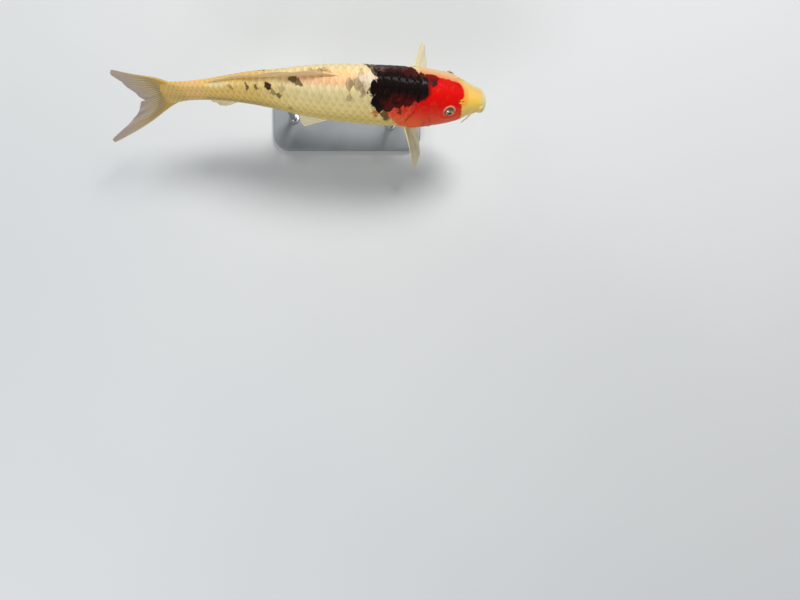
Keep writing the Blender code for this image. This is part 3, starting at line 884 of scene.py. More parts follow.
def lidded(rows, columns):
    """Faces of a tube with a flat face at each end."""
    _, faces = quads(rows, columns, closed=True)
    first = list(range(columns))
    return faces.tolist() + [first[::-1], [(rows - 1) * columns + j for j in first]]


def border_of(rows, columns):
    """Numbers of a grid's outer points, in order round it."""
    grid = np.arange(rows * columns).reshape(rows, columns)
    return np.concatenate([grid[0], grid[1:-1, -1], grid[-1, ::-1], grid[-2:0:-1, 0]])


# ---------------------------------------------------------------- skin


class Relief:
    """How far the skin stands out, how much painted shade its creases and pits get, and how near a lid each
    point is.
    """

    def __init__(self, u, angle, points):
        self.u, self.angle, self.points = u, angle, points
        self.s = u * STANDARD_LENGTH
        self.side = np.abs(angle)
        self.out, self.crease, self.lid = np.zeros_like(u), np.zeros_like(u), np.zeros_like(u)

    def add_crease_shade(self, depth):
        """Paints shade into a crease or pit, unless a deeper shade is there already."""
        self.crease = np.maximum(self.crease, depth)

    def gaps(self, station, angle):
        """How far each point is from a place on the left side, and from its twin on the right."""
        for sign in (1, -1):
            yield np.linalg.norm(self.points - hide(station, sign * angle), axis=-1)

    def mouth(self):
        """A small horseshoe groove between full lips, each parted from the face by a fold."""
        s, angle = self.s, self.angle
        across, up = spread_out(self.u, angle)
        across = np.abs(across / MOUTH_GAPE)
        reach = np.sqrt((s / MOUTH_CORNER) ** 2 + across**3.4 * 0.55)
        open_to = np.sqrt(np.clip(1 - reach**2, 0, 1))
        near, folds = rise(reach, 1.12, 0.90), rise(reach, 1.22, 0.95)
        h = up + 0.0030 + s * math.tan(MOUTH_SLOPE) + 0.0026 * across**2.2
        slit = bell(h, 0, 0.00040) * near
        upper_fold = bell(h - 0.0042 * open_to - 0.0003, 0, 0.00070) * folds
        lower_fold = bell(h + 0.0036 * open_to + 0.0003, 0, 0.00070) * folds
        lips = bell(h, 0.0020 * open_to + 0.0002, 0.0015)
        lips = lips + 0.85 * bell(h, -0.0018 * open_to - 0.0002, 0.0013)
        pleats = np.sin(angle * 0.9) * np.sin(angle * 0.37 + 1.0) * rise(s, 0.0008, 0.0040)
        self.out += 0.0010 * lips * near * (1 + 0.10 * pleats) - 0.0019 * slit
        self.out -= 0.0006 * upper_fold + 0.0005 * lower_fold
        self.add_crease_shade(slit + 0.40 * upper_fold + 0.30 * lower_fold)

    def snout(self):
        """Rounder above the mouth than at its sides, and drawn in at its very tip."""
        s, side = self.s, self.side
        self.out -= 0.0016 * bell(s, 0.0036, 0.0030) * rise(side, 80, 25)
        self.out += 0.0005 * bell(s, 0.0120, 0.0050) * rise(side, 60, 20)
        self.out -= 0.0013 * bell(s, 0.0048, 0.0034) * bell(side, 64, 17)
        self.out -= 0.0017 * rise(s, 0.0060, 0.0)

    def nostrils(self):
        """A front tube and a rear pit on each side."""
        for station, size in ((0.0800, 0.00120), (0.0905, 0.00165)):
            for gap in self.gaps(station, 38.0):
                pit = bell(gap, 0, size * 0.72)
                self.out += 0.00026 * bell(gap, size * 1.35, size * 0.60) - 0.0017 * pit
                self.add_crease_shade(0.9 * pit)

    def sockets(self):
        """Eye sockets with a soft lid ring."""
        for gap in self.gaps(EYE_STATION, EYE_ANGLE):
            self.out += -0.0034 * rise(gap, 0.00445, 0.00375) + 0.00075 * bell(gap, 0.0051, 0.00075)
            self.out -= 0.00018 * bell(gap, 0.0072, 0.0009)
            self.out += 0.0005 * bell(gap, 0.0095, 0.0022) * rise(self.side, 60, 80)
            self.lid = np.maximum(self.lid, rise(gap, 0.0068, 0.0050) * rise(gap, 0.0036, 0.0044))
            self.add_crease_shade(0.35 * bell(gap, 0.0041, 0.0003))

    def cheeks(self):
        """Cheek bones, the gill cover's bones and the rays under the throat."""
        u, side = self.u, self.side
        hook = 0.181 - 0.010 * rise(side, 68, 118) - 0.085 * np.clip((side - 116) / 34, 0, 1) ** 1.8
        seen = rise(side, 62, 76) * rise(side, 156, 146)
        self.out -= 0.00065 * bell(u, hook, 0.0036) * seen
        self.out += 0.00040 * bell(u, hook + 0.011, 0.0065) * seen
        self.add_crease_shade(0.30 * bell(u, hook, 0.0022) * seen)
        lower_bone = 0.214 - 0.0036 * np.clip(side - 118, 0, 60)
        under = rise(side, 120, 128) * rise(side, 158, 152)
        self.out -= 0.00045 * bell(u, lower_bone, 0.0030) * under
        self.out += 0.0009 * bell(u, 0.218, 0.030) * bell(side, 96, 26)
        ribs = 0.5 + 0.5 * np.cos(np.arctan2(u - 0.168, (side - 62) / 420.0) * 34)
        self.out += 0.00012 * ribs * bell(u, 0.222, 0.024) * bell(side, 96, 26)
        top_edge = bell(side, 53 + 40 * (u - 0.16), 2.2) * rise(u, 0.150, 0.165)
        self.out -= 0.00045 * top_edge * rise(u, 0.26, 0.21)
        for low, depth in ((158.0, 0.0005), (166.0, 0.0004), (173.0, 0.0003)):
            rib = bell(side, low + 90 * (u - 0.15), 1.6) * rise(u, 0.095, 0.115) * rise(u, 0.186, 0.176)
            self.out -= depth * rib
            self.add_crease_shade(0.25 * rib)
        self.out += 0.0006 * bell(u, 0.088, 0.018) * bell(side, 95, 24)

    def skull(self):
        """A low middle swelling, a dip between the eyes and arcs of sense pores."""
        self.out += 0.0005 * bell(self.side, 0, 13) * bell(self.u, 0.165, 0.035)
        self.out -= 0.0004 * bell(self.side, 30, 9) * bell(self.u, 0.122, 0.022)
        for k in range(PORES):
            share = k / (PORES - 1)
            for gap in self.gaps(0.092 + 0.066 * share, 86 + 12 * math.sin(share * math.pi) + 2 * (k % 2)):
                self.out -= 0.00022 * bell(gap, 0, 0.00042)
                self.add_crease_shade(0.22 * bell(gap, 0, 0.00034))

    def gill_edge(self):
        """The free edge of the gill cover, with the body dropping away behind it."""
        past = (self.u - gill_line(self.angle)) * STANDARD_LENGTH
        flap = rise(self.side, 50, 58) * rise(self.side, 160, 150)
        self.out += 0.0008 * flap * rise(past, -0.0070, -0.0008) * rise(past, 0.0001, -0.0004)
        self.out -= 0.0010 * flap * rise(past, -0.0002, 0.0002) * rise(past, 0.0042, 0.0008)
        self.out -= 0.0003 * flap * bell(past, -0.0030, 0.0006)
        self.add_crease_shade(0.9 * flap * bell(past, 0.0003, 0.0007))
        self.out -= SKIN_DEPTH * rise(past, -0.0002, 0.0010)

    def roots(self):
        """Fleshy roots of the barbels and of the paired fins."""
        for station, angle, _, thick in BARBELS.values():
            for gap in self.gaps(station, angle):
                self.out += 0.9 * thick * bell(gap, 0, 1.6 * thick)
        for station, angle, proud, size in (
            (PECTORAL_STATIONS[1], PECTORAL_ANGLE, 0.0016, 0.0060),
            (PELVIC_STATION, PELVIC_ANGLE, 0.0010, 0.0048),
        ):
            for gap in self.gaps(station, angle):
                self.out += proud * bell(gap, 0, size)

    def uneven(self):
        """Fine bumps all over."""
        for scale, depth in ((300.0, 0.00007), (800.0, 0.00003)):
            bumps = [noise.noise(Vector(spot) * scale) for spot in self.points.reshape(-1, 3).tolist()]
            self.out += depth * np.reshape(bumps, self.out.shape) * rise(self.u, 0.004, 0.03)


def skin_grid():
    """Stations and angles of the skin's points, with rows that follow the gill's edge."""
    angle = np.linspace(-180.0, 180.0, AROUND + 1)[None, :-1]
    wide = np.ones((1, AROUND))
    cap = SNOUT_CAP * (1 - np.cos(np.linspace(0.03, math.pi / 2, SNOUT_ROWS)[:, None]))
    edge = gill_line(angle) + np.array(GILL_ROWS)[:, None] / 1000 / STANDARD_LENGTH
    face = SNOUT_CAP + (edge[0] - SNOUT_CAP) * (np.arange(1, FACE_ROWS) / FACE_ROWS)[:, None]
    flank = edge[-1] + (1.0 - edge[-1]) * (np.arange(1, FLANK_ROWS + 1) / FLANK_ROWS)[:, None]
    root = 1.0 + np.array(ROOT_ROWS)[:, None]
    u = np.concatenate([cap * wide, face, edge, flank, root * wide])
    return u, angle * np.ones((len(u), 1))


def build_skin(material):
    """One closed skin from the lips to the tail root, finest on the head."""
    u, angle = skin_grid()
    base = thinned(u, hide(u, angle))
    relief = Relief(u, angle, base)
    for shape in (
        relief.mouth,
        relief.snout,
        relief.nostrils,
        relief.sockets,
        relief.cheeks,
        relief.skull,
        relief.gill_edge,
        relief.roots,
        relief.uneven,
    ):
        shape()
    points = base + relief.out[..., None] * facing(base, closed=True)
    ends = np.stack([points[0].mean(0), points[-1].mean(0)])
    places, faces = quads(len(u), AROUND, closed=True)
    end_faces, end_turns = fans(len(u), AROUND)
    row, column = places[..., 0], places[..., 1]
    # The map's second number runs from the left of the belly, over the back, round to its right
    corners = np.stack([u[row, column % AROUND], 1.0 - column / AROUND], -1)
    first, last = u[0, 0], u[-1, 0]
    end_u = np.repeat([[0.0, first, first], [SKIN_END, last, last]], AROUND, axis=0)
    end_corners = np.stack([end_u, 1.0 - end_turns], -1)
    corners = np.concatenate([corners.reshape(-1, 2), end_corners.reshape(-1, 2)])
    crease = np.clip(relief.crease, 0, 1)
    return piece(
        "skin",
        np.concatenate([points.reshape(-1, 3), ends]),
        faces.tolist() + end_faces.tolist(),
        material,
        SKIN_NODES,
        {"OFBake": corners * (0.96, 0.98) + (0.01, 0.01), "place": corners},
        {"crease": np.append(crease, (0, 0)), "lid": np.append(relief.lid, (0, 0))},
    )


# ---------------------------------------------------------------- scales


def pitch_at(u):
    """From scale to scale along a row at station u."""
    return through(*zip(*PITCH), u)


def count_scales():
    """Stations, and how many scales a row has up to each of them."""
    stations = np.linspace(PITCH[0][0], PITCH[-1][0], 1201)
    rate = STANDARD_LENGTH / pitch_at(stations)
    counts = np.concatenate([[0], np.cumsum((rate[1:] + rate[:-1]) / 2 * np.diff(stations))])
    return stations, counts


COUNTED = count_scales()


def row_height(u, below):
    """From row to row, so that whole rows fit between the lateral line and a midline."""
    angle = np.linspace(LATERAL_LINE, 180.0 if below else 0.0, 60)
    steps = np.diff(hide(u[:, None], angle[None, :]), axis=1)
    counts = ROWS_BELOW if below else ROWS_ABOVE
    return np.linalg.norm(steps, axis=-1).sum(1) / through(*zip(*counts), u)


def store(mesh, label, values):
    """Gives a mesh a vector for each point."""
    made = mesh.attributes.new(label, "FLOAT_VECTOR", "POINT")
    made.data.foreach_set("vector", values.astype(np.float32).ravel())


def build_plate():
    """One scale on the chart: a thin domed plate, its front end hidden and its rear round."""
    # w goes across the scale, and f from its front to its tip
    w = np.linspace(-1.02, 1.02, 11)
    f = np.array((0.0, 0.42, 0.66, 0.86, 0.965, 1.0))[:, None]
    tip = PLATE_TIP - 0.60 * np.abs(w) ** 2.1
    x = PLATE_FRONT + (tip - PLATE_FRONT) * f
    y = w * (0.72 + 0.28 * np.clip(f * 1.7, 0, 1) ** 0.7)
    z = 0.00010 * (1 - w**2) - PLATE_STEP * (PLATE_TIP - x) - 0.00012 * (f > 0.99) - 0.00002 * (f > 0.95)
    rows, columns = x.shape
    _, faces = quads(rows, columns)
    faces = faces[:, ::-1].tolist()
    top = np.stack([x, y, z], -1).reshape(-1, 3)
    border = border_of(rows, columns)
    low = top[border] - (0, 0, PLATE_THICK)
    n, start = len(border), rows * columns
    for a in range(n):
        b = (a + 1) % n
        faces.append([int(border[a]), int(border[b]), start + b, start + a])
    faces.append([start + a for a in range(n)])
    mesh = bpy.data.meshes.new("plate")
    mesh.from_pydata(np.concatenate([top, low]).tolist(), [], faces)
    spots = np.stack([f + 0 * x, w + 0 * x, 0 * x], -1).reshape(-1, 3)
    store(mesh, "plate", np.concatenate([spots, spots[border]]))
    return bpy.data.objects.new("plate", mesh)


def build_bed(name, u, angle, start, sign):
    """The surface that scales lie on, with their chart on it. Rows are counted from start."""
    points = hide(u[:, None], angle[None, :])
    run = np.linalg.norm(np.diff(points, axis=1), axis=-1)
    points = thinned(u[:, None] * np.ones(angle.shape), points)
    arc = np.concatenate([np.zeros((len(u), 1)), np.cumsum(run, 1)], 1)
    arc = arc - np.array([np.interp(start, angle * sign, row) for row in arc])[:, None]
    above, below = row_height(u, False)[:, None], row_height(u, True)[:, None]
    if start == LATERAL_LINE:
        rows = np.where(arc < 0, arc / above, arc / below)
    else:
        rows = arc / (below if abs(start) > 90.0 else above)
    counted = np.interp(u, *COUNTED)[:, None]
    chart = np.stack([counted * CHART[0] + 0 * arc, rows * CHART[1] + 0.5, 0 * arc], -1)
    place = np.stack([u[:, None] + 0 * arc, -angle + 0 * arc, pitch_at(u)[:, None] + 0 * arc], -1)
    _, faces = quads(*arc.shape)
    mesh = bpy.data.meshes.new(name)
    mesh.from_pydata(points.reshape(-1, 3).tolist(), [], faces.tolist())
    for label, values in (("chart", chart), ("outward", facing(points) * sign), ("place", place)):
        store(mesh, label, values)
    return bpy.data.objects.new(name, mesh), rows


def coat_tree():
    """Lays a plate on every point of a chart, and bends it on to the bed."""
    tree = bpy.data.node_groups.new("lay_scales", "GeometryNodeTree")
    for label, kind in (
        ("Geometry", "Geometry"),
        ("Plate", "Object"),
        ("Bed", "Object"),
        ("Proud", "Float"),
        ("Full Pitch", "Float"),
        ("Turn", "Float"),
        ("Seed", "Int"),
        ("Material", "Material"),
    ):
        tree.interface.new_socket(label, in_out="INPUT", socket_type="NodeSocket" + kind)
    tree.interface.new_socket("Geometry", in_out="OUTPUT", socket_type="NodeSocketGeometry")
    given = tree.nodes.new("NodeGroupInput")

    def add(kind, settings=None, sockets=None, out=0):
        """A node of this tree."""
        return add_node(tree, kind, settings, sockets, out)

    def of(name):
        """One of the tree's inputs."""
        return given.outputs[name]

    def vector(operation, one, two):
        """Arithmetic on vectors."""
        return add("ShaderNodeVectorMath", {"operation": operation}, {0: one, 1: two})

    def number(operation, one, two):
        """Arithmetic on numbers."""
        return add("ShaderNodeMath", {"operation": operation}, {0: one, 1: two})

    def keep(geometry, name, value, kind="FLOAT_VECTOR"):
        """Stores a value on every point, to be read again by name."""
        sockets = {"Geometry": geometry, "Name": name, "Value": value}
        return add("GeometryNodeStoreNamedAttribute", {"data_type": kind, "domain": "POINT"}, sockets)

    def named(name):
        """A vector that the points carry."""
        return add("GeometryNodeInputNamedAttribute", {"data_type": "FLOAT_VECTOR"}, {"Name": name})

    def luck(low, high, seed):
        """A random number for every point."""
        sockets = {2: low, 3: high, "Seed": seed}
        return add("FunctionNodeRandomValue", {"data_type": "FLOAT"}, sockets, out=1)

    plate = add("GeometryNodeObjectInfo", None, {"Object": of("Plate")}, out=4)
    bed = add("GeometryNodeObjectInfo", None, {"Object": of("Bed")}, out=4)
    where = add("GeometryNodeInputPosition")
    points = keep(of("Geometry"), "root", where)
    points = keep(points, "chance", luck(0.0, 1.0, of("Seed")), "FLOAT")
    spin = luck(number("MULTIPLY", of("Turn"), -1.0), of("Turn"), number("ADD", of("Seed"), 1.0))
    spin = add("ShaderNodeCombineXYZ", None, {2: spin})
    laid = add("GeometryNodeInstanceOnPoints", None, {"Points": points, "Instance": plate, "Rotation": spin})
    solid = add("GeometryNodeRealizeInstances", None, {"Geometry": laid})
    scale = add("ShaderNodeCombineXYZ", None, {0: CHART[0], 1: CHART[1], 2: 0.0})

    def sampled(value, chart_point):
        """A value of the bed, where its chart has the point."""
        spot = vector("ADD", vector("MULTIPLY", chart_point, scale), (0.0, 0.5, 0.0))
        sockets = {0: bed, 1: value, 2: named("chart"), 3: spot}
        return add("GeometryNodeSampleUVSurface", {"data_type": "FLOAT_VECTOR"}, sockets)

    solid = keep(solid, "here", sampled(named("place"), where))
    solid = keep(solid, "home", sampled(named("place"), named("root")))
    surface, outward = sampled(where, where), sampled(named("outward"), where)
    height = add("ShaderNodeSeparateXYZ", None, {0: where}, out=2)
    pitch = add("ShaderNodeSeparateXYZ", None, {0: named("home")}, out=2)
    height = number("MULTIPLY", height, number("DIVIDE", pitch, of("Full Pitch")))
    height = number("ADD", height, of("Proud"))
    lift = add("ShaderNodeVectorMath", {"operation": "SCALE"}, {0: outward, "Scale": height})
    bent = add("GeometryNodeSetPosition", None, {"Geometry": solid, "Position": vector("ADD", surface, lift)})
    painted = add("GeometryNodeSetMaterial", None, {"Geometry": bent, "Material": of("Material")})
    end = tree.nodes.new("NodeGroupOutput")
    tree.links.new(painted, end.inputs[0])
    return tree


def lay_scales(name, tree, plate, bed, spots, material, flip, seed, midline=False):
    """Runs the tree on one lot of chart points, and puts the coat in the scene as a plain mesh."""
    mesh = bpy.data.meshes.new(name + "_spots")
    mesh.from_pydata([(x, y, 0.0) for x, y in spots], [], [])
    carrier = link(name + "_spots", mesh)
    made = carrier.modifiers.new("scales", "NODES")
    made.node_group = tree
    wanted = {
        "Plate": plate,
        "Bed": bed,
        "Proud": RIDGE_PROUD * midline,
        "Full Pitch": PITCH[1][1],
        "Turn": PLATE_TURN,
        "Seed": seed,
        "Material": material,
    }
    for item in tree.interface.items_tree:
        if item.in_out == "INPUT" and item.name in wanted:
            made[item.identifier] = wanted[item.name]
    graph = bpy.context.evaluated_depsgraph_get()
    coat = bpy.data.meshes.new_from_object(carrier.evaluated_get(graph))
    bpy.data.objects.remove(carrier)
    if flip:
        coat.flip_normals()
    map_coat(coat, midline)
    return settle(name, coat, material, ("trunk", "tail_stalk"))


def map_coat(coat, midline):
    """Turns what the tree has stored on a coat into its maps for painting and baking."""
    def read(label):
        """A vector that the tree has stored, point by point."""
        found = np.empty(len(coat.vertices) * 3, np.float32)
        coat.attributes[label].data.foreach_get("vector", found)
        return found.reshape(-1, 3)

    here, home, root, shape = (read(label) for label in ("here", "home", "root", "plate"))
    corner = np.empty(len(coat.loops), np.int32)
    coat.loops.foreach_get("vertex_index", corner)
    step = PAINT_SPREAD * (here - home)
    turn = ((home[:, 1] + 180.0) % 360.0 + step[:, 1]) / 360.0
    place = np.stack([home[:, 0] + step[:, 0], turn], 1)[corner]
    plate_map = np.stack([shape[:, 0], shape[:, 1] * 0.5 + 0.5], 1)[corner]
    low, high = root[:, :2].min(0) - 1, root[:, :2].max(0) + 1
    cell = root[:, :2] + np.stack([(shape[:, 0] - 0.5) * 0.92, shape[:, 1] * 0.44], 1)
    bake = ((cell - low) / (high - low))[corner]
    # A scale's underside is one face of many corners, and needs no room on the map
    sizes = np.empty(len(coat.polygons), np.int32)
    coat.polygons.foreach_get("loop_total", sizes)
    under = np.repeat(sizes > 4, sizes)
    bake[under] = ((root[:, :2] - low) / (high - low))[corner][under]
    lateral = (np.abs(root[:, 1]) < 0.1).astype(np.float32) * (not midline)
    for label, values in (("OFBake", bake), ("place", place), ("plate_map", plate_map)):
        layer = coat.uv_layers.new(name=label)
        layer.data.foreach_set("uv", values.astype(np.float32).ravel())
    for label in ("here", "home", "root", "plate"):
        coat.attributes.remove(coat.attributes[label])
    coat.uv_layers["plate_map"].name = "plate"
    made = coat.attributes.new("lateral", "FLOAT", "POINT")
    made.data.foreach_set("value", lateral)


def flank_spots(rows, angles, stations):
    """Where scales lie on one side: their counts along a row, and their rows from the lateral line."""
    last = int(np.interp(1.0, *COUNTED))
    for j in range(-MOST_ROWS, MOST_ROWS + 1):
        for i in range(last + 1):
            x = i + 0.5 * (j % 2)
            u = float(np.interp(x, *COUNTED[::-1]))
            row = rows[int(np.argmin(np.abs(stations - u)))]
            if not row[0] < j < row[-1]:
                continue
            t = float(np.interp(j, row, angles))
            tip = u + PLATE_TIP * float(pitch_at(u)) / STANDARD_LENGTH
            tail = 1.000 - 0.018 * abs((t - LATERAL_LINE) / 90.0) ** 1.5
            spans = BACK_SPANS if t < 90.0 else KEEL_SPANS
            edge = CLEAR_OF_RIDGE if any(low < u < high for low, high in spans) else -PAST_MIDDLE
            if edge < t < 180.0 - edge and tip > float(gill_line(t)) + 0.004 and u < tail:
                yield x, j


def ridge_spots(spans, counts):
    """Where scales lie along the back or the keel, in step with the rows beside them."""
    last = int(np.interp(1.0, *COUNTED))
    for low, high in spans:
        odd = round(float(through(*zip(*counts), low))) % 2
        for i in range(last + 1):
            x = i + 0.5 * odd
            if low < float(np.interp(x, *COUNTED[::-1])) < high:
                yield x, 0.0


def build_coat(material):
    """Scales down both sides, and a row on the back and on the keel where they are clear of fins."""
    tree, plate = coat_tree(), build_plate()
    stations = np.linspace(*BED_SPAN, BED_ROWS)
    for sign, label in ((1, "left"), (-1, "right")):
        angles = np.linspace(*FLANK_ARC, FLANK_COLUMNS)
        bed, rows = build_bed("bed_" + label, stations, angles * sign, LATERAL_LINE, sign)
        spots = list(flank_spots(rows, angles, stations))
        lay_scales("scales_" + label, tree, plate, bed, spots, material, sign > 0, 5 + sign)
    for name, centre, sign, spans, counts in (
        ("scales_back", 0.0, -1, BACK_SPANS, ROWS_ABOVE),
        ("scales_belly", 180.0, 1, KEEL_SPANS, ROWS_BELOW),
    ):
        angles = centre + sign * np.linspace(*RIDGE_ARC, RIDGE_COLUMNS)
        bed, _ = build_bed("bed_" + name, stations, angles, centre * sign, sign)
        spots = list(ridge_spots(spans, counts))
        lay_scales(name, tree, plate, bed, spots, material, sign > 0, 9, midline=True)


# ---------------------------------------------------------------- fins


def median_form(side, stations, lengths, rake, lean):
    """A fin on the midline: its points from p, across its rays, and q, along them."""
    def form(p, q):
        """Points of the fin's middle surface."""
        u = stations[0] + (stations[1] - stations[0]) * p
        length = through(*zip(*lengths), p) * STANDARD_LENGTH
        tilt = np.radians(rake[0] + (rake[1] - rake[0]) * p)
        _, top, low = section(u)
        root = (top if side > 0 else low) - ROOT_DEPTH
        run = (length + ROOT_DEPTH) * q
        sweep = tilt + 0.20 * q
        station = u + run * np.sin(sweep) / STANDARD_LENGTH
        back, _ = leaning(station)
        folded, _ = leaning(station, lean * np.minimum(1, 1.6 * q))
        return axis(station) + side * (root[..., None] * back + (run * np.cos(sweep))[..., None] * folded)

    return form


def lobe_form(side, reach, spread):
    """One half of the tail fin, above or below the fork."""
    def form(p, q):
        """Points of the fin's middle surface."""
        _, top, low = section(np.array(1.0))
        stem = float(top if side > 0 else low)
        length = through((0.0, 0.10, 0.35, 0.70, 1.0), LOBES[side], p)
        angle = np.radians(spread * (1 - p) ** 0.85)
        bow = np.radians(9.0) * (1 - p) * (0.5 - q)
        run = reach * length * q
        along = run * np.cos(angle + bow) - ROOT_DEPTH * (1 - q)
        up = stem * 0.93 * (1 - p) + run * np.sin(angle + bow) - 0.0002
        station = 1.0 + along / STANDARD_LENGTH
        back, _ = leaning(station)
        return axis(station) + side * up[..., None] * back

    return form


def paired_form(root, leading, chord, lengths, fan, bend):
    """A fin that fans from a root on one side, from its leading ray towards its chord."""
    leading, chord = unit(leading), unit(chord)
    chord = unit(chord - leading * np.dot(chord, leading))
    out = np.cross(leading, chord)

    def form(p, q):
        """Points of the fin's middle surface."""
        length = through(*zip(*lengths), p)[..., None] * STANDARD_LENGTH + ROOT_DEPTH
        ray = ring(np.radians(fan) * p * (0.55 + 0.45 * q), leading, chord)
        p, q = p[..., None], q[..., None]
        base = root - ROOT_DEPTH * leading + FIN_CHORD * STANDARD_LENGTH * p * chord
        return base + ray * length * q + bend * STANDARD_LENGTH * q**2 * out

    return form


def raised_rays(p, q, rays, spine, draw):
    """1 on a fin's rays and 0 on its web. Rays fork twice, but the first few are spines."""
    ridge = np.zeros_like(p)
    for k in range(rays):
        centre = (k + 0.5 + 0.12 * (draw.random() - 0.5)) / rays
        first = 0.24 / rays * rise(q, 0.30 + 0.1 * draw.random(), 0.72)
        second = 0.11 / rays * rise(q, 0.62 + 0.08 * draw.random(), 0.98)
        width = 0.17 / rays * (1 - 0.45 * q)
        forks, stout = ((0,), 1.5) if k < spine else ((-1, 1), 1.0)
        for a in forks:
            for b in forks:
                ridge = np.maximum(ridge, bell(p, centre + a * first + b * second, width * stout))
    return ridge


def notched(p, ridge, rays, draw):
    """How much of each line along a fin is missing at its rim: less on the rays, more at splits."""
    fray = through(np.linspace(0, 1, 3 * rays), draw.random(3 * rays), p)
    notch = 0.005 * (1 - ridge) + 0.008 * fray**3
    for _ in range(FIN_SPLITS):
        split = draw.integers(2, rays) / rays
        notch = notch + 0.018 * draw.random() * bell(p, split, 0.12 / rays)
    return notch


def build_fin(name, form, rays, material, samples, seed, spine=0):
    """A thin closed fin: branching rays stand out of a web, and its rim is finely frayed."""
    draw = np.random.default_rng(seed)
    rows, columns = FIN_ROWS, rays * samples + 1
    p = np.linspace(0, 1, columns)[None, :] * np.ones((rows, 1))
    q = (np.linspace(0, 1, rows)[:, None] ** 0.92) * np.ones((1, columns))
    lead = bell(p, 0.0, 0.6 / rays)
    ridge = np.maximum(raised_rays(p, q, rays, spine, draw), lead)
    points = form(p, q * (1 - notched(p[0], ridge[-1], rays, draw) * rise(q, 0.3, 1.0)))
    normal = facing(points)
    billow = FIN_WAVE * q**1.5 * np.sin(p * 17.0 + q * 3.0 + seed) * rise(p, 0.0, 0.12)
    points = points + billow[..., None] * normal
    half = 0.00013 + 0.00085 * (1 - q) ** 2.4 + ridge * (0.00006 + 0.00019 * (1 - q) ** 0.9)
    half = half * (1 - 0.55 * bell(q, 1.0, 0.02)) + 0.00016 * lead * (1 - q)
    if spine:
        teeth = (0.5 + 0.5 * np.sin(q * 150.0)) * rise(q, 0.1, 0.3) * (1 - q)
        half = half + 0.00022 * teeth * bell(p, (spine - 0.15) / rays, 0.25 / rays)
    swell = half[..., None] * normal
    both = np.concatenate([(points + swell).reshape(-1, 3), (points - swell).reshape(-1, 3)])

    # The far side's faces are the near side's turned round, and a rim joins the two
    places, faces = quads(rows, columns)
    count = rows * columns
    border = border_of(rows, columns)
    after = np.roll(border, -1)
    rim = np.stack([after, border, border + count, after + count], 1)
    size = (columns - 1, rows - 1)
    near = places[..., ::-1] / size
    far, edge = near[:, ::-1], np.stack(np.divmod(rim % count, columns)[::-1], -1) / size
    page, left, right = (0.46, 0.96), (0.02, 0.02), (0.52, 0.02)
    ray = np.concatenate([near, far, edge])
    bake = np.concatenate([near * page + left, far * page + right, edge * page + left])
    return piece(
        name,
        both,
        np.concatenate([faces, faces[:, ::-1] + count, rim]).tolist(),
        material,
        (name,),
        {"OFBake": bake.reshape(-1, 2), "ray": ray.reshape(-1, 2)},
        {"ridge": np.tile(ridge.ravel(), 2)},
    )


def build_fins():
    """All eight fin pieces. A fin's ray lengths go from its first ray (0) to its last (1)."""
    tail, fore, back = (paint_fin(name + "_web", *(tint(*levels) for levels in shades)) for name, shades in (
        ("tail", ((0.79, 0.62, 0.28), (0.67, 0.57, 0.38), (0.80, 0.69, 0.45), (0.70, 0.62, 0.56))),
        ("fore", ((0.95, 0.82, 0.52), (0.95, 0.87, 0.64), (0.99, 0.94, 0.76), (0.95, 0.90, 0.76))),
        ("back", ((0.95, 0.80, 0.58), (0.93, 0.80, 0.58), (0.98, 0.88, 0.68), (0.90, 0.80, 0.60))),
    ))
    dorsal = ((0.0, 0.070), (0.07, 0.098), (0.25, 0.080), (0.6, 0.060), (1.0, 0.050))
    form = median_form(1, (0.415, 0.800), dorsal, (63.0, 70.0), -2.0)
    build_fin("dorsal_fin", form, 21, back, samples=9, spine=2, seed=11)
    anal = ((0.0, 0.070), (0.10, 0.100), (0.5, 0.078), (1.0, 0.050))
    form = median_form(-1, (0.750, 0.828), anal, (38.0, 55.0), 0.0)
    build_fin("anal_fin", form, 8, back, samples=13, spine=1, seed=12)
    build_fin("tail_fin_upper", lobe_form(1, 0.0475, 38.0), 10, tail, samples=15, seed=13)
    build_fin("tail_fin_lower", lobe_form(-1, 0.0650, 24.0), 10, tail, samples=15, seed=14)
    pectoral = ((0.0, 0.168), (0.18, 0.176), (0.5, 0.158), (0.8, 0.120), (1.0, 0.080))
    for name, side, leading, chord in (
        ("pectoral_fin_left", 1, (0.34, 0.93, -0.14), (0.42, -0.10, -0.90)),
        ("pectoral_fin_right", -1, (0.24, -0.71, -0.66), (0.42, 0.42, -0.80)),
    ):
        root = hide(PECTORAL_STATIONS[side], side * PECTORAL_ANGLE)
        form = paired_form(root, leading, chord, pectoral, 46.0, side * 0.012)
        build_fin(name, form, 15, fore, samples=11, seed=20 + side)
    pelvic = ((0.0, 0.118), (0.2, 0.122), (0.6, 0.104), (1.0, 0.070))
    for name, side in (("pelvic_fin_left", 1), ("pelvic_fin_right", -1)):
        root = hide(PELVIC_STATION, side * PELVIC_ANGLE)
        leading, chord = (-0.88, side * 0.10, -0.45), (-0.35, -side * 0.45, 0.60)
        form = paired_form(root, leading, chord, pelvic, 38.0, side * 0.006)
        build_fin(name, form, 9, fore, samples=12, seed=30 + side)


# ---------------------------------------------------------------- eyes and barbels


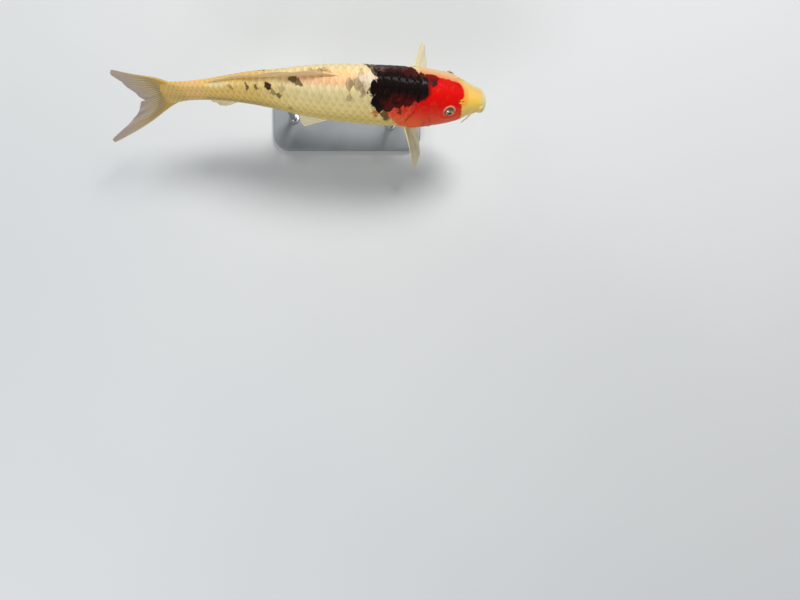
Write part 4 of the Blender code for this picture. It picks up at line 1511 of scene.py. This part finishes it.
def build_eye(name, side, material):
    """A glassy ball that bulges over the pupil."""
    surface = hide(EYE_STATION, side * EYE_ANGLE)
    outwards = unit(surface - axis(EYE_STATION))
    centre = surface - outwards * EYE_SUNK
    outwards = unit(outwards * 0.45 + unit((0.10, side, -0.15)) * 0.55)
    ahead = np.array((1.0, 0.0, 0.0))
    ahead = unit(ahead - outwards * np.dot(ahead, outwards))
    third = np.cross(outwards, ahead)
    polar = (np.linspace(0, 1, EYE_ROWS + 2)[1:-1, None] ** 1.6) * np.ones(EYE_COLUMNS)
    turn = np.linspace(0, 2 * math.pi, EYE_COLUMNS, endpoint=False) * np.ones((EYE_ROWS, 1))
    radius = EYE_RADIUS * (0.985 + 0.040 * bell(polar, 0, 0.12) - 0.010 * bell(polar, PUPIL, 0.014))
    points = centre + radius[..., None] * ring(polar * math.pi, outwards, ring(turn, ahead, third))
    _, faces = quads(EYE_ROWS, EYE_COLUMNS, closed=True)
    end_faces, _ = fans(EYE_ROWS, EYE_COLUMNS)
    ends = np.stack([centre + outwards * EYE_RADIUS * 1.015, centre - outwards * EYE_RADIUS * 0.985])
    facts = {
        "polar": np.append(polar.ravel(), (0, 1)),
        "around": np.append(np.abs(turn / math.pi - 1).ravel(), (0, 0)),
    }
    flat = np.concatenate([points.reshape(-1, 3), ends])
    made = piece(name, flat, faces.tolist() + end_faces.tolist(), material, (name,), None, facts)
    return outward_only(made)


def outward_only(obj):
    """Turns the faces of a closed piece outwards."""
    bm = bmesh.new()
    bm.from_mesh(obj.data)
    bmesh.ops.recalc_face_normals(bm, faces=bm.faces)
    bm.to_mesh(obj.data)
    bm.free()
    return obj


def build_barbel(name, station, angle, length, radius, material):
    """A soft feeler with faint folds, tapering to a round tip."""
    root = hide(station, angle)
    inwards = unit(axis(station) - root)
    side = math.copysign(1.0, angle)
    rows, columns = BARBEL_ROWS, BARBEL_COLUMNS
    share = np.linspace(0, 1, rows)[:, None]
    drop = np.concatenate([-0.60 + 0 * share, side * 0.34 + 0 * share, -0.60 - 0.25 * share], 1)
    bow = np.sin(share * math.pi) * 0.075 * np.array([0.70, side * 0.45, -0.55])
    path = root + inwards * BARBEL_SUNK * (1 - share) + (drop * share + bow) * length
    thick = radius * (1 - 0.62 * share) * (1 + 0.02 * np.sin(share * 60))
    thick = thick * np.sqrt(1 - rise(share, 0.93, 1.0) * 0.8) * (1 + 0.60 * bell(share, 0.0, 0.16))
    ahead = unit(np.gradient(path, axis=0))
    one = unit(np.cross(ahead, (0.0, 1.0, 0.0)))
    two = np.cross(ahead, one)
    turn = np.linspace(0, 2 * math.pi, columns, endpoint=False)[None, :]
    points = path[:, None] + thick[..., None] * ring(turn, one[:, None], two[:, None])
    places, faces = quads(rows, columns, closed=True)
    end_faces, end_turns = fans(rows, columns)
    corners = np.stack([places[..., 0] / (rows - 1), places[..., 1] / columns], -1).reshape(-1, 2)
    caps = np.stack([np.repeat([0.0, 1.0], columns)[:, None] + 0 * end_turns, end_turns], -1).reshape(-1, 2)
    ends = np.stack([path[0], path[-1] + ahead[-1] * thick[-1] * 0.7])
    flat = np.concatenate([points.reshape(-1, 3), ends])
    faces = faces.tolist() + end_faces.tolist()
    bake = {"OFBake": np.concatenate([corners, caps])}
    return outward_only(piece(name, flat, faces, material, (name,), bake))


# ---------------------------------------------------------------- stand


def turned(name, x, y, profile, material):
    """A round closed piece from radii and heights, bottom to top."""
    radius, height = np.array(profile).T
    turn = np.linspace(0, 2 * math.pi, ROD_COLUMNS, endpoint=False)
    points = np.stack([
        x + radius[:, None] * np.cos(turn),
        y + radius[:, None] * np.sin(turn),
        height[:, None] + 0 * turn,
    ], -1)
    faces = lidded(len(radius), ROD_COLUMNS)
    made = outward_only(piece(name, points, faces, material, (name,)))
    made.data.set_sharp_from_angle(angle=ROD_SHARP)
    return made


def build_base(material):
    """A plate with rounded corners, a soft upper edge and a fine lower chamfer."""
    outline = []
    for quarter in range(4):
        for step in range(CORNER_STEPS + 1):
            turn = (quarter + step / CORNER_STEPS) * math.pi / 2
            cx = (BASE_LENGTH / 2 - BASE_CORNER) * (1 if quarter in (0, 3) else -1)
            cy = (BASE_WIDTH / 2 - BASE_CORNER) * (1 if quarter in (0, 1) else -1)
            outline.append((cx, cy, math.cos(turn), math.sin(turn)))
    cx, cy, nx, ny = np.array(outline).T
    # How far each ring lies in from the outline, and how high
    rings = [(BASE_CHAMFER, 0.0), (0.0, BASE_CHAMFER), (0.0, BASE_THICK - BASE_EDGE)]
    for step in range(1, EDGE_STEPS + 1):
        turn = step / EDGE_STEPS * math.pi / 2
        rings.append((BASE_EDGE * (1 - math.cos(turn)), BASE_THICK - BASE_EDGE * (1 - math.sin(turn))))
    rings += [(BASE_EDGE + 0.0015, BASE_THICK), (BASE_EDGE + 0.006, BASE_THICK)]
    points = np.stack([
        np.stack([cx + (BASE_CORNER - inset) * nx, cy + (BASE_CORNER - inset) * ny, 0 * cx + z], 1)
        for inset, z in rings
    ])
    faces = lidded(len(rings), len(outline))
    made = outward_only(piece("stand_base", points, faces, material, ("stand_base",)))
    made.data.set_sharp_from_angle(angle=BASE_SHARP)
    return made


def build_rods(material):
    """Two turned rods, each with a foot on the base and a cup under the belly."""
    for name, x in zip(("stand_rod_rear", "stand_rod_front"), ROD_OFFSETS):
        keel = hide((SNOUT_X - x) / STANDARD_LENGTH, 180.0)
        z, floor = float(keel[2]), BASE_THICK
        profile = (  # radius and height: foot, rod and cup
            (0.0050, floor - 0.0002),
            (0.0054, floor + 0.0002),
            (0.0054, floor + 0.0016),
            (0.0050, floor + 0.0021),
            (0.0034, floor + 0.0024),
            (ROD_RADIUS, floor + 0.0034),
            (ROD_RADIUS, floor + 0.0044),
            (ROD_RADIUS, z - 0.0060),
            (ROD_RADIUS, z - 0.0050),
            (0.0031, z - 0.0046),
            (0.0042, z - 0.0016),
            (0.0046, z - 0.0006),
            (0.0046, z + 0.0014),
        )
        turned(name, x, float(keel[1]), profile, material)


# ---------------------------------------------------------------- room


def build_floor():
    """A pale floor that fades into the backdrop."""
    floor = bpy.data.meshes.new("floor")
    corners = [(FLOOR * x, FLOOR * y, 0) for x, y in ((-1, -1), (1, -1), (1, 1), (-1, 1))]
    floor.from_pydata(corners, [], [(0, 1, 2, 3)])
    paint = Paint("pale_floor")
    away = paint.node("VectorMath", {"operation": "LENGTH"}, {0: paint.place()}, out=1)
    far = paint.ramp(away, *FLOOR_FADES)
    near = paint.mix(paint.noise(3.0, 2.0), tint(0.80, 0.81, 0.82), tint(0.83, 0.84, 0.84))
    floor.materials.append(paint.finish(
        Base_Color=paint.mix(far, near, tint(0, 0, 0)),
        Emission_Color=paint.mix(far, tint(0, 0, 0), HAZE),
        Emission_Strength=1.0,
        Roughness=0.75,
    ))
    link("floor", floor)


def build_lamps():
    """Three soft rectangular lamps that point at the fish."""
    for name, place, size, power, colour in (
        ("key_light", (0.55, 0.75, 1.35), (0.6, 0.45), 24.0, (1.0, 0.985, 0.96)),
        ("fill_light", (-0.7, -1.1, 0.9), (0.9, 0.7), 11.0, (0.95, 0.975, 1.0)),
        ("rim_light", (-1.0, 0.9, 0.5), (0.6, 0.3), 5.0, (1.0, 1.0, 1.0)),
    ):
        data = bpy.data.lights.new(name, "AREA")
        data.shape = "RECTANGLE"
        data.size, data.size_y = size
        data.energy = power
        data.color = colour
        towards = Vector(LIT) - Vector(place)
        link(name, data, place).rotation_euler = towards.to_track_quat("-Z", "Y").to_euler()


def build_world():
    """A soft room light, with a plain pale backdrop behind everything."""
    world = bpy.data.worlds.new("soft_room")
    bpy.context.scene.world = world
    bpy.context.scene.view_settings.view_transform = "Standard"
    world.use_nodes = True
    tree = world.node_tree
    soft = tree.nodes["Background"]
    soft.inputs[0].default_value, soft.inputs[1].default_value = ROOM_LIGHT
    wall = add_node(tree, "ShaderNodeBackground", None, {0: HAZE})
    seen = add_node(tree, "ShaderNodeLightPath")
    both = add_node(tree, "ShaderNodeMixShader", None, {0: seen, 1: soft.outputs[0], 2: wall})
    tree.links.new(both, tree.nodes["World Output"].inputs[0])


def build_camera():
    """A camera over the fish, looking straight down."""
    lens = bpy.data.cameras.new("camera")
    lens.lens, lens.sensor_width = LENS, FILM
    bpy.context.scene.camera = link("camera", lens, CAMERA)


build_floor()
build_lamps()
build_world()
build_camera()
build_skin(paint_skin())
build_coat(paint_scales())
build_fins()
glass = paint_eye()
build_eye("eye_left", 1, glass)
build_eye("eye_right", -1, glass)
flesh = paint_barbel()
for side, label in ((1, "left"), (-1, "right")):
    for kind, (station, angle, length, radius) in BARBELS.items():
        build_barbel(f"barbel_{label}_{kind}", station, side * angle, length, radius, flesh)
build_base(paint_base())
build_rods(paint_rod())
